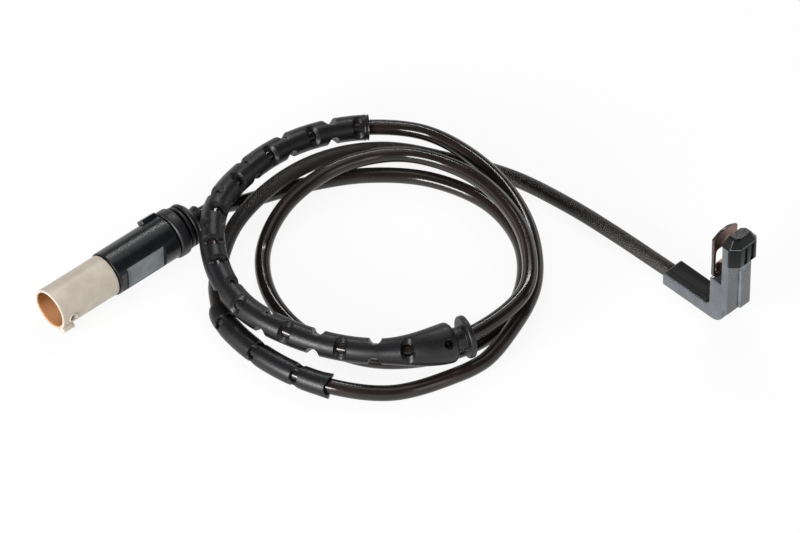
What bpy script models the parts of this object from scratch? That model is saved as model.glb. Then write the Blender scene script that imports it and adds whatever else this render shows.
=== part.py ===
# Brake pad wear sensor: sensing head, lead with two slotted guides, and plug.
# Metres, +Z up, +X from the lead's entry along the head's arm to its tower.
# The origin is under the middle of the head, on the surface it lies on.
import math

import bmesh
import bpy
from mathutils import Matrix, Vector

MM = 0.001

# Shared clearance and smoothness; cutters run PAST the faces that they open
GAP = 0.3 * MM
PAST = 1.0 * MM
WELD = 0.01 * MM
LINE_STEP = 1.0 * MM
SHARP_ANGLE = math.radians(35)
TURN_STEPS = 24
SLEEVE_TURN_STEPS = 36
PIN_STEPS = 12
CORNER_STEPS = 6
BEND_STEPS = 4
WIRE_RESOLUTION = 2
LEAD_RESOLUTION = 4
SLEEVE_RESOLUTION = 6
QUARTER = math.radians(90)

# Head: the moulded L
ARM_LENGTH = 21.2 * MM
ARM_WIDTH = 8.8 * MM
ARM_HEIGHT = 5.2 * MM
LEG_DEPTH = 6.3 * MM
LEG_HEIGHT = 18.4 * MM
HEEL_RADIUS = 5.0 * MM
INNER_RADIUS = 2.2 * MM
ARM_END_RADIUS = 0.6 * MM
LEG_TOP_RADIUS = 0.4 * MM

# Head: the contact tower in front of the leg
TOWER_WIDTH = 10.2 * MM
TOWER_DEPTH = 3.7 * MM
TOWER_LIP = 2.8 * MM
TOWER_FOOT = 7.5 * MM
TOWER_TOP = 37.7 * MM
TOWER_CHAMFER = 1.3 * MM
PANEL_WIDTH = 4.9 * MM
PANEL_DEPTH = 0.5 * MM
PANEL_TOP = 28.0 * MM

# Head: the wear nose on the tower
COLLAR_DEPTH = 2.5 * MM
COLLAR_HEIGHT = 7.4 * MM
COLLAR_PROUD = 0.6 * MM
COLLAR_CHAMFER = 2.6 * MM
GROOVE_WIDTH = 1.4 * MM
GROOVE_DEPTH = 0.6 * MM
GROOVE_PLACES = (-1.2 * MM, 1.8 * MM)
NOSE_STEP = 0.7 * MM
NOSE_HEIGHT = 3.6 * MM
NOSE_TOP_SHARE = 0.58

# Head: the spring clip in the leg
CLIP_THICKNESS = 0.8 * MM
CLIP_LEFT = 4.5 * MM
CLIP_RIGHT = 7.3 * MM
CLIP_TOP = TOWER_TOP + 0.5 * MM
CLIP_ARCH = 1.7 * MM
CLIP_ARCH_STEPS = 8
CLIP_FOOT_WIDTH = 6.0 * MM
CLIP_FOOT_DEPTH = 3.2 * MM
WINDOW_WIDTH = 6.0 * MM
WINDOW_BOTTOM = 22.0 * MM
WINDOW_TOP = 34.0 * MM
TONGUE_WIDTH = 4.6 * MM
TONGUE_THICKNESS = 0.5 * MM
TONGUE_ROOT = 1.2 * MM
# The tongue's bow, as shares of its reach forward and of the window's height
TONGUE_BOW = [(0.55, 0.22), (1.0, 0.42), (0.62, 0.60), (0.35, 0.72), (0.6, 0.84)]

# Head: conductors
CORE_DIAMETER = 1.5 * MM
LOOP_DIAMETER = 0.8 * MM
CONDUCTOR_PITCH = 2.8 * MM
BEND_RADIUS = 1.4 * MM
LOOP_BEND = 1.1 * MM
CONDUCTOR_SHARE = 0.55
CORE_RISE = 9.0 * MM
LOOP_CROSSING = 12.0 * MM
LOOP_REACH = 1.8 * MM

# Lead, along its length from the head
LEAD_DIAMETER = 5.3 * MM
BRAID_LENGTH = 240.0 * MM
LEAD_SPACING = 15.5 * MM
GUIDED_SPACING = 9.0 * MM
LEAD_MARGIN = 5.0 * MM
LEAD_STUB = 1.5 * MM
FLOOR_PLAY = 0.05 * MM
LEAD_RADIUS = LEAD_DIAMETER / 2

# Guides on the lead
SLEEVE_WALL = 1.15 * MM
SLEEVE_SPACING = 6.0 * MM
NOTCH_RADIUS = 2.1 * MM
NOTCH_REACH = 0.75
SHORT_PLAY = 0.3 * MM
SHORT_GUIDE_START = 219.0 * MM
SHORT_GUIDE_END = 272.5 * MM
SHORT_GUIDE_DIAMETER = LEAD_DIAMETER + 2 * (SLEEVE_WALL + SHORT_PLAY)
SHORT_NOTCH_PITCH = 13.0 * MM
SHORT_NOTCH_FIRST = 6.5 * MM
SHORT_NOTCH_LAST = 3.25 * MM
LONG_PLAY = 0.65 * MM
LONG_GUIDE_START = 467.5 * MM
LONG_GUIDE_END = 661.0 * MM
LONG_GUIDE_DIAMETER = LEAD_DIAMETER + 2 * (SLEEVE_WALL + LONG_PLAY)
LONG_NOTCH_PITCH = 9.2 * MM
LONG_NOTCH_FIRST = 7.4 * MM
BELL_DIAMETER = LONG_GUIDE_DIAMETER + 5.1 * MM
BELL_LENGTH = 23.5 * MM
BELL_RIM = 2.2 * MM
BELL_RIM_INSET = 1.3 * MM
BELL_HOLE_DIAMETER = 3.0 * MM
BELL_HOLE_RISE = 0.9

# Grommet in the bell
GROMMET_DISC_DIAMETER = BELL_DIAMETER + 0.6 * MM
GROMMET_DISC_THICKNESS = 2.0 * MM
GROMMET_NECK_DIAMETER = LEAD_DIAMETER + 3.1 * MM
GROMMET_NECK_LENGTH = 3.4 * MM
GROMMET_PLUG_LENGTH = 4.0 * MM
GROMMET_PLAY = 0.7 * MM
GROMMET_EDGE = 0.5 * MM

# Plug, along its axis from the mouth
PLUG_MOUTH = Vector((-146.0, -163.0, 7.9)) * MM
PLUG_YAW = math.radians(86.6)
PLUG_PITCH = math.radians(0.9)
HOUSING_DIAMETER = 14.8 * MM
HOUSING_WALL = 1.1 * MM
HOUSING_FRONT = 24.0 * MM
HOUSING_END = 48.5 * MM
MOUTH_CHAMFER = 0.3 * MM
RIB_TURN = math.radians(42)
KEY_HOLE_TURN = math.radians(6)
RIB_LENGTH = 4.6 * MM
RIB_WIDTH = 2.6 * MM
RIB_PROUD = 1.6 * MM
KEY_HOLE_DIAMETER = 2.2 * MM
KEY_HOLE_PLACE = 4.2 * MM
SLEEVE_DIAMETER = HOUSING_DIAMETER + 1.0 * MM
SLEEVE_THICKNESS = 0.8 * MM
SLEEVE_LENGTH = 26.0 * MM
SLEEVE_FLAT = 6.1 * MM
FLAT_START = 5.0 * MM
FLAT_LENGTH = 16.5 * MM
LATCH_LENGTH = 8.0 * MM
LATCH_WIDTH = 4.0 * MM
LATCH_PROUD = 1.3 * MM
LATCH_TURN = math.radians(132)
HOLDER_START = 17.0 * MM
HOLDER_END = 33.0 * MM
SEAL_LENGTH = 8.0 * MM
PIN_DIAMETER = 1.6 * MM
PIN_TIP_DIAMETER = 0.64 * MM
PIN_TIP_LENGTH = 1.0 * MM
PIN_START = 8.5 * MM
PIN_PITCH = 4.6 * MM
PIN_INSET = 4.0 * MM
BARREL_DIAMETER = 2.5 * MM
BARREL_INSET = 2.0 * MM
BARREL_TAPER = 0.5 * MM

# Boot on the plug
BOOT_LENGTH = 14.0 * MM
BOOT_COLLAR_DIAMETER = SLEEVE_DIAMETER + 1.4 * MM
BOOT_COLLAR_THICKNESS = 4.2 * MM
BOOT_RING_DIAMETER = SLEEVE_DIAMETER - 0.2 * MM
BOOT_GROOVE_DIAMETER = 12.6 * MM
BOOT_GROOVE_WIDTH = 0.8 * MM
BOOT_RING_WIDTH = 1.3 * MM
BOOT_LAST_RING_WIDTH = 2.4 * MM
BOOT_CHAMFER = 1.2 * MM
BOOT_NECK_DIAMETER = LEAD_DIAMETER + 2.1 * MM
BOOT_TAIL_DIAMETER = LEAD_DIAMETER + 3.1 * MM
BOOT_TAIL_LENGTH = 2.2 * MM
BOOT_EDGE = 0.6 * MM
BOOT_POCKET_DIAMETER = 10.4 * MM
BOOT_POCKET_DEPTH = 5.0 * MM
BOOT_POCKET_TAPER = 1.5 * MM
LEAD_IN_BOOT = 7.0 * MM
LEAD_RUN_OUT = 3.0 * MM
LEAD_RUN_IN = 2.0 * MM

# Route of the lead's centre, in millimetres, from the head to the plug
ROUTE = [
    (-42, -1.5, 2.8), (-64, -3, 2.8), (-86, -7, 2.8), (-106.5, -16, 2.8), (-125, -27.5, 3),
    (-133.5, -47, 6.8), (-135, -70, 9.2), (-132.5, -91.5, 6), (-121.5, -110, 3.2), (-113, -118, 4.2),
    (-103.5, -123.5, 4.4), (-81.5, -125.5, 4.4), (-59.5, -120, 4.3), (-42.5, -106, 2.8),
    (-33.5, -85.5, 2.8), (-31.5, -74, 2.8), (-32.5, -62, 6), (-39.5, -43.5, 8.4), (-55.5, -27.5, 8.6),
    (-75.5, -17.5, 9), (-97.5, -14, 9.3), (-119.5, -16.5, 7.6), (-136, -30.5, 7.6),
    (-143.5, -51.5, 10.5), (-143.5, -74, 12.8), (-136, -96.5, 14.8), (-120.5, -111.5, 13),
    (-100.5, -119, 12), (-79, -116.5, 11.8), (-59, -107, 11.8), (-43, -91.5, 12.8),
    (-36, -73.5, 13), (-37, -50, 14.3), (-52.5, -33.5, 14.3), (-73, -24.5, 13.2), (-95, -22, 10.6),
    (-115.5, -30, 9), (-125.5, -48.5, 9.5), (-128, -70.5, 6), (-120, -90, 2.8),
    (-102.5, -103.5, 2.8), (-80.5, -107.5, 2.8), (-59, -101, 2.8), (-44.5, -85, 2.8),
    (-38.5, -64, 2.8), (-45.5, -43, 2.8), (-61, -27.5, 2.8), (-82, -21.5, 2.8), (-104, -27, 2.8),
    (-121, -41, 2.8), (-133, -60, 2.8), (-140.5, -78, 3), (-142.5, -87.5, 5.8)]

# Places that several pieces share
LEG_FRONT = ARM_LENGTH + LEG_DEPTH
TOWER_FRONT = LEG_FRONT + GAP + TOWER_LIP
TOWER_BACK = TOWER_FRONT - TOWER_DEPTH
COLLAR_FRONT = TOWER_FRONT + GAP + COLLAR_DEPTH
HALF_COLLAR = TOWER_WIDTH / 2 + COLLAR_PROUD
HEAD_SHIFT = Vector((-COLLAR_FRONT / 2, -(CLIP_RIGHT - HALF_COLLAR) / 2, 0))
CONDUCTOR_OUT = ARM_LENGTH + LEG_DEPTH * CONDUCTOR_SHARE
LOOP_OUT = TOWER_FRONT - TOWER_LIP / 2
BORE_RADIUS = HOUSING_DIAMETER / 2 - HOUSING_WALL
SLEEVE_START = HOUSING_FRONT + GAP
SLEEVE_END = SLEEVE_START + SLEEVE_LENGTH
SLEEVE_BORE = SLEEVE_DIAMETER / 2 - SLEEVE_THICKNESS
BOOT_START = SLEEVE_END + GAP
BOOT_END = BOOT_START + BOOT_LENGTH
LEAD_BORE = LEAD_RADIUS + GAP
LEAD_STOP = BOOT_END - LEAD_IN_BOOT
BOOT_CORE_START = LEAD_STOP - GAP
SEAL_START = HOLDER_END + GAP


def clear_scene():
    for item in list(bpy.data.objects):
        bpy.data.objects.remove(item, do_unlink=True)


def make_collection(name):
    group = bpy.data.collections.new(name)
    bpy.context.scene.collection.children.link(group)
    return group


def make_material(name, colour, roughness, metallic=0.0):
    material = bpy.data.materials.new(name)
    material.use_nodes = True
    shader = material.node_tree.nodes["Principled BSDF"]
    shader.inputs["Base Color"].default_value = (*colour, 1)
    shader.inputs["Roughness"].default_value = roughness
    shader.inputs["Metallic"].default_value = metallic
    return material


def place_mesh(name, mesh, material, group, matrix=Matrix()):
    thing = bpy.data.objects.new(name, mesh)
    thing.matrix_world = matrix
    group.objects.link(thing)
    if material:
        mesh.materials.clear()
        mesh.materials.append(material)
        mesh.shade_smooth()
        mesh.set_sharp_from_angle(angle=SHARP_ANGLE)
    return thing


def settle(thing):
    """Replace a curve or a modified object by its finished mesh."""
    bpy.context.view_layer.update()
    graph = bpy.context.evaluated_depsgraph_get()
    mesh = bpy.data.meshes.new_from_object(thing.evaluated_get(graph))
    shape = bmesh.new()
    shape.from_mesh(mesh)
    bmesh.ops.remove_doubles(shape, verts=shape.verts, dist=WELD)
    bmesh.ops.recalc_face_normals(shape, faces=shape.faces)
    shape.to_mesh(mesh)
    shape.free()
    data, matrix = thing.data, thing.matrix_world.copy()
    bpy.data.objects.remove(thing, do_unlink=True)
    if isinstance(data, bpy.types.Curve):
        bpy.data.curves.remove(data)
    return mesh, matrix


def prism_mesh(outline, thickness):
    """A flat outline extruded about its own plane."""
    curve = bpy.data.curves.new("outline", "CURVE")
    curve.dimensions = "2D"
    curve.fill_mode = "BOTH"
    curve.extrude = thickness / 2
    spline = curve.splines.new("POLY")
    spline.points.add(len(outline) - 1)
    for point, (x, y) in zip(spline.points, outline):
        point.co = (x, y, 0, 1)
    spline.use_cyclic_u = True
    thing = bpy.data.objects.new("outline", curve)
    bpy.context.scene.collection.objects.link(thing)
    return settle(thing)[0]


def box_mesh(low, high):
    low, high = Vector(low), Vector(high)
    shape = bmesh.new()
    bmesh.ops.create_cube(shape, size=1)
    bmesh.ops.scale(shape, vec=high - low, verts=shape.verts)
    bmesh.ops.translate(shape, vec=(low + high) / 2, verts=shape.verts)
    mesh = bpy.data.meshes.new("box")
    shape.to_mesh(mesh)
    shape.free()
    return mesh


def rod_mesh(radius, start, end, sides=16):
    """A round rod between two points."""
    start, end = Vector(start), Vector(end)
    shape = bmesh.new()
    bmesh.ops.create_cone(shape, cap_ends=True, segments=sides, radius1=radius, radius2=radius,
                          depth=(end - start).length)
    turn = (end - start).to_track_quat("Z", "Y").to_matrix().to_4x4()
    bmesh.ops.transform(shape, matrix=Matrix.Translation((start + end) / 2) @ turn, verts=shape.verts)
    mesh = bpy.data.meshes.new("rod")
    shape.to_mesh(mesh)
    shape.free()
    return mesh


def turned_mesh(profile, steps=TURN_STEPS, ring=True):
    """A profile of (radius, height) turned about Z; its outer side runs downward. A ring profile
    closes on itself, and any other has both its ends on the axis."""
    mesh = bpy.data.meshes.new("profile")
    count = len(profile)
    edges = [(i, i + 1) for i in range(count - 1)]
    if ring:
        edges.append((count - 1, 0))
    mesh.from_pydata([(r, 0, z) for r, z in profile], edges, [])
    thing = bpy.data.objects.new("profile", mesh)
    bpy.context.scene.collection.objects.link(thing)
    screw = thing.modifiers.new("turn", "SCREW")
    screw.steps = steps
    screw.render_steps = steps
    screw.use_merge_vertices = True
    screw.merge_threshold = WELD
    return settle(thing)[0]


def tube_mesh(points, radius, resolution, capped=True, swell=None):
    """A round tube along the points; swell gives each point's share of the radius."""
    curve = bpy.data.curves.new("tube", "CURVE")
    curve.dimensions = "3D"
    curve.bevel_depth = radius
    curve.bevel_resolution = resolution
    curve.use_fill_caps = capped
    spline = curve.splines.new("POLY")
    spline.points.add(len(points) - 1)
    for index, point in enumerate(points):
        spline.points[index].co = (*point, 1)
        if swell:
            spline.points[index].radius = swell[index]
    thing = bpy.data.objects.new("tube", curve)
    bpy.context.scene.collection.objects.link(thing)
    return settle(thing)[0]


def apply_cuts(thing, cutters, operation="DIFFERENCE"):
    for cutter in cutters:
        mod = thing.modifiers.new(cutter.name, "BOOLEAN")
        mod.object = cutter
        mod.operation = operation
        mod.solver = "EXACT"


def make_cutter(name, mesh, matrix=Matrix()):
    thing = place_mesh(name, mesh, None, cutters, matrix)
    thing.hide_render = True
    thing.display_type = "WIRE"
    return thing


def rounded(points, radius, steps=BEND_STEPS):
    """The same line with each inner corner replaced by an arc."""
    line = [Vector(points[0])]
    for before, corner, after in zip(points, points[1:], points[2:]):
        corner = Vector(corner)
        back = (Vector(before) - corner).normalized()
        ahead = (Vector(after) - corner).normalized()
        half = back.angle(ahead) / 2
        reach = radius / math.tan(half)
        centre = corner + (back + ahead).normalized() * radius / math.sin(half)
        start, end = corner + back * reach - centre, corner + ahead * reach - centre
        for step in range(steps + 1):
            line.append(centre + start.lerp(end, step / steps).normalized() * radius)
    line.append(Vector(points[-1]))
    return line


def fillet_outline(corners, steps=CORNER_STEPS):
    """An outline of (x, y, radius) corners with each radius as an arc."""
    outline = []
    count = len(corners)
    for index, (x, y, radius) in enumerate(corners):
        if not radius:
            outline.append((x, y))
            continue
        corner = Vector((x, y))
        back = (Vector(corners[index - 1][:2]) - corner).normalized()
        ahead = (Vector(corners[(index + 1) % count][:2]) - corner).normalized()
        half = back.angle(ahead) / 2
        centre = corner + (back + ahead).normalized() * radius / math.sin(half)
        start = corner + back * radius / math.tan(half) - centre
        end = corner + ahead * radius / math.tan(half) - centre
        for step in range(steps + 1):
            share = start.lerp(end, step / steps).normalized() * radius
            outline.append(tuple(centre + share))
    return outline


def smooth_line(points, spacing=LINE_STEP):
    """A centripetal Catmull-Rom curve through the points, read at short steps."""
    points = [Vector(p) for p in points]
    points = [points[0] * 2 - points[1], *points, points[-1] * 2 - points[-2]]
    line = []
    for a, b, c, d in zip(points, points[1:], points[2:], points[3:]):
        knots = [0.0]
        for left, right in ((a, b), (b, c), (c, d)):
            knots.append(knots[-1] + math.sqrt((right - left).length))
        count = max(2, int((c - b).length / spacing))
        for index in range(count):
            t = knots[1] + (knots[2] - knots[1]) * index / count
            ab = a.lerp(b, (t - knots[0]) / (knots[1] - knots[0]))
            bc = b.lerp(c, (t - knots[1]) / (knots[2] - knots[1]))
            cd = c.lerp(d, (t - knots[2]) / (knots[3] - knots[2]))
            abc = ab.lerp(bc, (t - knots[0]) / (knots[2] - knots[0]))
            bcd = bc.lerp(cd, (t - knots[1]) / (knots[3] - knots[1]))
            line.append(abc.lerp(bcd, (t - knots[1]) / (knots[2] - knots[1])))
    line.append(points[-2])
    return line


class Measured:
    """A line that can be read by the distance along it."""

    def __init__(self, line):
        self.line = line
        self.marks = [0.0]
        for a, b in zip(line, line[1:]):
            self.marks.append(self.marks[-1] + (b - a).length)
        self.length = self.marks[-1]

    def at(self, distance):
        distance = min(max(distance, 0), self.length)
        for index in range(1, len(self.marks)):
            if self.marks[index] >= distance:
                share = (distance - self.marks[index - 1]) / (self.marks[index] - self.marks[index - 1])
                return self.line[index - 1].lerp(self.line[index], share)
        return self.line[-1]

    def direction(self, distance):
        return (self.at(distance + LINE_STEP) - self.at(distance - LINE_STEP)).normalized()

    def between(self, start, end, spacing):
        count = max(2, math.ceil((end - start) / spacing - 0.001))
        return [self.at(start + (end - start) * i / count) for i in range(count + 1)]


def plug_matrix():
    """From the plug's own frame, Z along its axis from the mouth and X to its flat, to the world."""
    axis = Vector((math.cos(PLUG_YAW) * math.cos(PLUG_PITCH), math.sin(PLUG_YAW) * math.cos(PLUG_PITCH),
                   math.sin(PLUG_PITCH)))
    side = Vector((math.sin(PLUG_YAW), -math.cos(PLUG_YAW), 0))
    under = axis.cross(side)
    turn = Matrix((side, under, axis)).transposed().to_4x4()
    return Matrix.Translation(PLUG_MOUTH) @ turn


def lead_line():
    """The lead's whole centre line: out of the arm, along the route, into the boot; it never dips
    below the surface that the part lies on."""
    entry = Vector((-GAP, 0, ARM_HEIGHT / 2)) + HEAD_SHIFT
    place = plug_matrix()
    heights = (BOOT_END + LEAD_RUN_OUT, BOOT_END - LEAD_RUN_IN, LEAD_STOP)
    tail = [place @ Vector((0, 0, height)) for height in heights]
    line = smooth_line([entry, *(Vector(p) * MM for p in ROUTE), *tail])
    for point in line:
        point.z = max(point.z, LEAD_RADIUS + FLOOR_PLAY)
    return Measured(line)


def conductor_sides():
    return {1: -CONDUCTOR_PITCH / 2, 2: CONDUCTOR_PITCH / 2}


def leg_tunnel(side, radius, name, reach):
    """A cutter along one conductor's way through the arm, up the leg and forward into the tower."""
    points = [(-PAST, side, ARM_HEIGHT / 2), (CONDUCTOR_OUT, side, ARM_HEIGHT / 2),
              (CONDUCTOR_OUT, side, LOOP_CROSSING), (reach, side, LOOP_CROSSING)]
    mesh = tube_mesh(rounded(points, BEND_RADIUS), radius, WIRE_RESOLUTION)
    return make_cutter(name, mesh, Matrix.Translation(HEAD_SHIFT))


def make_sensor_body():
    outline = fillet_outline([
        (0, 0, ARM_END_RADIUS), (LEG_FRONT, 0, HEEL_RADIUS), (LEG_FRONT, LEG_HEIGHT, LEG_TOP_RADIUS),
        (ARM_LENGTH, LEG_HEIGHT, LEG_TOP_RADIUS), (ARM_LENGTH, ARM_HEIGHT, INNER_RADIUS),
        (0, ARM_HEIGHT, ARM_END_RADIUS)])
    mesh = prism_mesh(outline, ARM_WIDTH)
    stand = Matrix.Translation(HEAD_SHIFT) @ Matrix.Rotation(QUARTER, 4, "X")
    body = place_mesh("sensor_body", mesh, plastic, parts, stand)
    radius = CORE_DIAMETER / 2 + GAP
    tunnels = [leg_tunnel(side, radius, f"core_tunnel_{n}", LEG_FRONT + PAST)
               for n, side in conductor_sides().items()]
    slot = make_cutter("clip_slot", box_mesh(
        (ARM_LENGTH + CLIP_THICKNESS - GAP, -CLIP_FOOT_WIDTH / 2 - GAP, LEG_HEIGHT - CLIP_FOOT_DEPTH - GAP),
        (ARM_LENGTH + 2 * CLIP_THICKNESS + GAP, CLIP_FOOT_WIDTH / 2 + GAP, LEG_HEIGHT + PAST)),
        Matrix.Translation(HEAD_SHIFT))
    apply_cuts(body, [*tunnels, slot])


def make_tower():
    rear = LEG_FRONT + GAP
    outline = [(rear, TOWER_FOOT + TOWER_CHAMFER), (rear + TOWER_CHAMFER, TOWER_FOOT),
               (TOWER_FRONT, TOWER_FOOT), (TOWER_FRONT, TOWER_TOP), (TOWER_BACK, TOWER_TOP),
               (TOWER_BACK, LEG_HEIGHT + GAP), (rear, LEG_HEIGHT + GAP)]
    stand = Matrix.Translation(HEAD_SHIFT) @ Matrix.Rotation(QUARTER, 4, "X")
    tower = place_mesh("contact_tower", prism_mesh(outline, TOWER_WIDTH), plastic, parts, stand)
    radius = LOOP_DIAMETER / 2 + GAP
    place = Matrix.Translation(HEAD_SHIFT)
    cuts = []
    for n, side in conductor_sides().items():
        points = [(LEG_FRONT - PAST, side, LOOP_CROSSING), (LOOP_OUT, side, LOOP_CROSSING),
                  (LOOP_OUT, side, TOWER_TOP + PAST)]
        mesh = tube_mesh(rounded(points, LOOP_BEND), radius, WIRE_RESOLUTION)
        cuts.append(make_cutter(f"loop_tunnel_{n}", mesh, place))
    panel = box_mesh((TOWER_FRONT - PANEL_DEPTH, TOWER_WIDTH / 2 - PANEL_WIDTH, TOWER_FOOT - PAST),
                     (TOWER_FRONT + PAST, TOWER_WIDTH / 2 + PAST, PANEL_TOP))
    cuts.append(make_cutter("tower_panel", panel, place))
    apply_cuts(tower, cuts)


def make_nose():
    """The nose: a collar in front of the tower and a hipped cap over it, cut to clear the tower."""
    back = TOWER_BACK
    low = TOWER_TOP - COLLAR_HEIGHT
    outline = [(back, -HALF_COLLAR), (COLLAR_FRONT - COLLAR_CHAMFER, -HALF_COLLAR),
               (COLLAR_FRONT, -HALF_COLLAR + COLLAR_CHAMFER),
               (COLLAR_FRONT, HALF_COLLAR - COLLAR_CHAMFER / 2),
               (COLLAR_FRONT - COLLAR_CHAMFER / 2, HALF_COLLAR), (back, HALF_COLLAR)]
    middle = Vector(((back + COLLAR_FRONT) / 2, 0, 0))
    shape = bmesh.new()
    ring = [shape.verts.new((x, y, low)) for x, y in outline]
    face = shape.faces.new(ring)
    levels = [(TOWER_TOP + NOSE_STEP, 1.0), (TOWER_TOP + NOSE_STEP + NOSE_HEIGHT, NOSE_TOP_SHARE)]
    height = low
    for level, share in levels:
        grown = bmesh.ops.extrude_face_region(shape, geom=[face])["geom"]
        if height > low:
            bmesh.ops.delete(shape, geom=[face], context="FACES_ONLY")
        verts = [v for v in grown if isinstance(v, bmesh.types.BMVert)]
        face = [f for f in grown if isinstance(f, bmesh.types.BMFace)][0]
        for vert in verts:
            vert.co.z += level - height
            vert.co.x = middle.x + (vert.co.x - middle.x) * share
            vert.co.y *= share
        height = level
    bmesh.ops.recalc_face_normals(shape, faces=shape.faces)
    mesh = bpy.data.meshes.new("nose")
    shape.to_mesh(mesh)
    shape.free()
    place = Matrix.Translation(HEAD_SHIFT)
    nose = place_mesh("wear_nose", mesh, dark_plastic, parts, place)
    seat = box_mesh((back - PAST, -HALF_COLLAR - PAST, low - PAST),
                    (TOWER_FRONT + GAP, HALF_COLLAR + PAST, TOWER_TOP + GAP))
    half_loop = CONDUCTOR_PITCH / 2 + LOOP_DIAMETER / 2 + GAP
    pocket = box_mesh((LOOP_OUT - LOOP_DIAMETER / 2 - GAP, -half_loop, TOWER_TOP - PAST),
                      (LOOP_OUT + LOOP_DIAMETER / 2 + GAP, half_loop, TOWER_TOP + LOOP_REACH + GAP))
    cuts = [make_cutter("nose_seat", seat, place), make_cutter("nose_pocket", pocket, place)]
    for n, y in enumerate(GROOVE_PLACES, 1):
        groove = box_mesh((COLLAR_FRONT - GROOVE_DEPTH, y, low - PAST),
                          (COLLAR_FRONT + PAST, y + GROOVE_WIDTH, TOWER_TOP - PAST))
        cuts.append(make_cutter(f"nose_groove_{n}", groove, place))
    apply_cuts(nose, cuts)


def make_clip():
    """A sprung plate with an arched top, a window, and the window's tongue bowed to the tower."""
    arch = []
    for step in range(CLIP_ARCH_STEPS + 1):
        share = step / CLIP_ARCH_STEPS
        arch.append((CLIP_RIGHT - (CLIP_LEFT + CLIP_RIGHT) * share,
                     CLIP_TOP + CLIP_ARCH * math.sin(math.pi * share)))
    foot = CLIP_FOOT_WIDTH / 2
    base = LEG_HEIGHT + GAP
    outline = [(-foot, LEG_HEIGHT - CLIP_FOOT_DEPTH), (foot, LEG_HEIGHT - CLIP_FOOT_DEPTH), (foot, base),
               (CLIP_RIGHT, base + CLIP_RIGHT - foot), *arch, (-CLIP_LEFT, base + CLIP_LEFT - foot),
               (-foot, base)]
    mesh = prism_mesh(outline, CLIP_THICKNESS)
    out = ARM_LENGTH + CLIP_THICKNESS * 1.5
    stand = (Matrix.Translation(HEAD_SHIFT + Vector((out, 0, 0)))
             @ Matrix.Rotation(QUARTER, 4, "Z") @ Matrix.Rotation(QUARTER, 4, "X"))
    clip = place_mesh("spring_clip", mesh, bronze, parts, stand)
    reach = TOWER_BACK - GAP - TONGUE_THICKNESS - out
    rise = WINDOW_TOP - WINDOW_BOTTOM
    spine = [Vector((0, -TONGUE_ROOT)), *(Vector((reach * x, rise * z)) for x, z in TONGUE_BOW)]
    offsets = []
    for index, point in enumerate(spine):
        ahead = spine[min(index + 1, len(spine) - 1)] - spine[max(index - 1, 0)]
        outward = Vector((ahead.y, -ahead.x)).normalized()
        offsets.append(point + outward * TONGUE_THICKNESS)
    strip = [(p.x + out, p.y + WINDOW_BOTTOM) for p in [*spine, *reversed(offsets)]]
    side = Matrix.Translation(HEAD_SHIFT) @ Matrix.Rotation(QUARTER, 4, "X")
    window = box_mesh((out - CLIP_THICKNESS, -WINDOW_WIDTH / 2, WINDOW_BOTTOM),
                      (out + CLIP_THICKNESS, WINDOW_WIDTH / 2, WINDOW_TOP))
    apply_cuts(clip, [make_cutter("clip_window", window, Matrix.Translation(HEAD_SHIFT))])
    apply_cuts(clip, [make_cutter("clip_tongue", prism_mesh(strip, TONGUE_WIDTH), side)], "UNION")


def make_head_conductors():
    place = Matrix.Translation(HEAD_SHIFT)
    for n, side in conductor_sides().items():
        points = [(0, side, ARM_HEIGHT / 2), (CONDUCTOR_OUT, side, ARM_HEIGHT / 2),
                  (CONDUCTOR_OUT, side, CORE_RISE)]
        mesh = tube_mesh(rounded(points, BEND_RADIUS), CORE_DIAMETER / 2, WIRE_RESOLUTION)
        place_mesh(f"head_core_{n}", mesh, core_colours[n], parts, place)
    half = CONDUCTOR_PITCH / 2
    top = TOWER_TOP + LOOP_REACH - LOOP_DIAMETER / 2
    up = [(CONDUCTOR_OUT, -half, CORE_RISE + GAP), (CONDUCTOR_OUT, -half, LOOP_CROSSING),
          (LOOP_OUT, -half, LOOP_CROSSING), (LOOP_OUT, -half, top)]
    down = [(x, -y, z) for x, y, z in reversed(up)]
    mesh = tube_mesh(rounded([*up, *down], LOOP_BEND), LOOP_DIAMETER / 2, WIRE_RESOLUTION)
    place_mesh("wear_loop", mesh, copper, parts, place)


def lead_points(line, start, end):
    """Points along one stretch: close together in the guides, wider in the open, square at both ends."""
    spacings = {SHORT_GUIDE_START - LEAD_MARGIN: LEAD_SPACING,
                SHORT_GUIDE_END + LEAD_MARGIN: GUIDED_SPACING,
                LONG_GUIDE_START - LEAD_MARGIN: LEAD_SPACING,
                LONG_GUIDE_END + 3 * LEAD_MARGIN: GUIDED_SPACING,
                line.length - 4 * LEAD_MARGIN: LEAD_SPACING, line.length: LEAD_MARGIN}
    points = [line.at(start)]
    near = start + LEAD_STUB
    for edge, spacing in spacings.items():
        far = min(edge, end - LEAD_STUB)
        if far > near:
            points += line.between(near, far, spacing)[:-1]
            near = far
    return [*points, line.at(end - LEAD_STUB), line.at(end)]


def make_lead(line):
    braid = lead_points(line, 0, BRAID_LENGTH)
    smooth = lead_points(line, BRAID_LENGTH + GAP, line.length)
    place_mesh("lead_braided", tube_mesh(braid, LEAD_RADIUS, LEAD_RESOLUTION), lead_cloth, parts)
    place_mesh("lead_smooth", tube_mesh(smooth, LEAD_RADIUS, LEAD_RESOLUTION), lead_rubber, parts)


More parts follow.
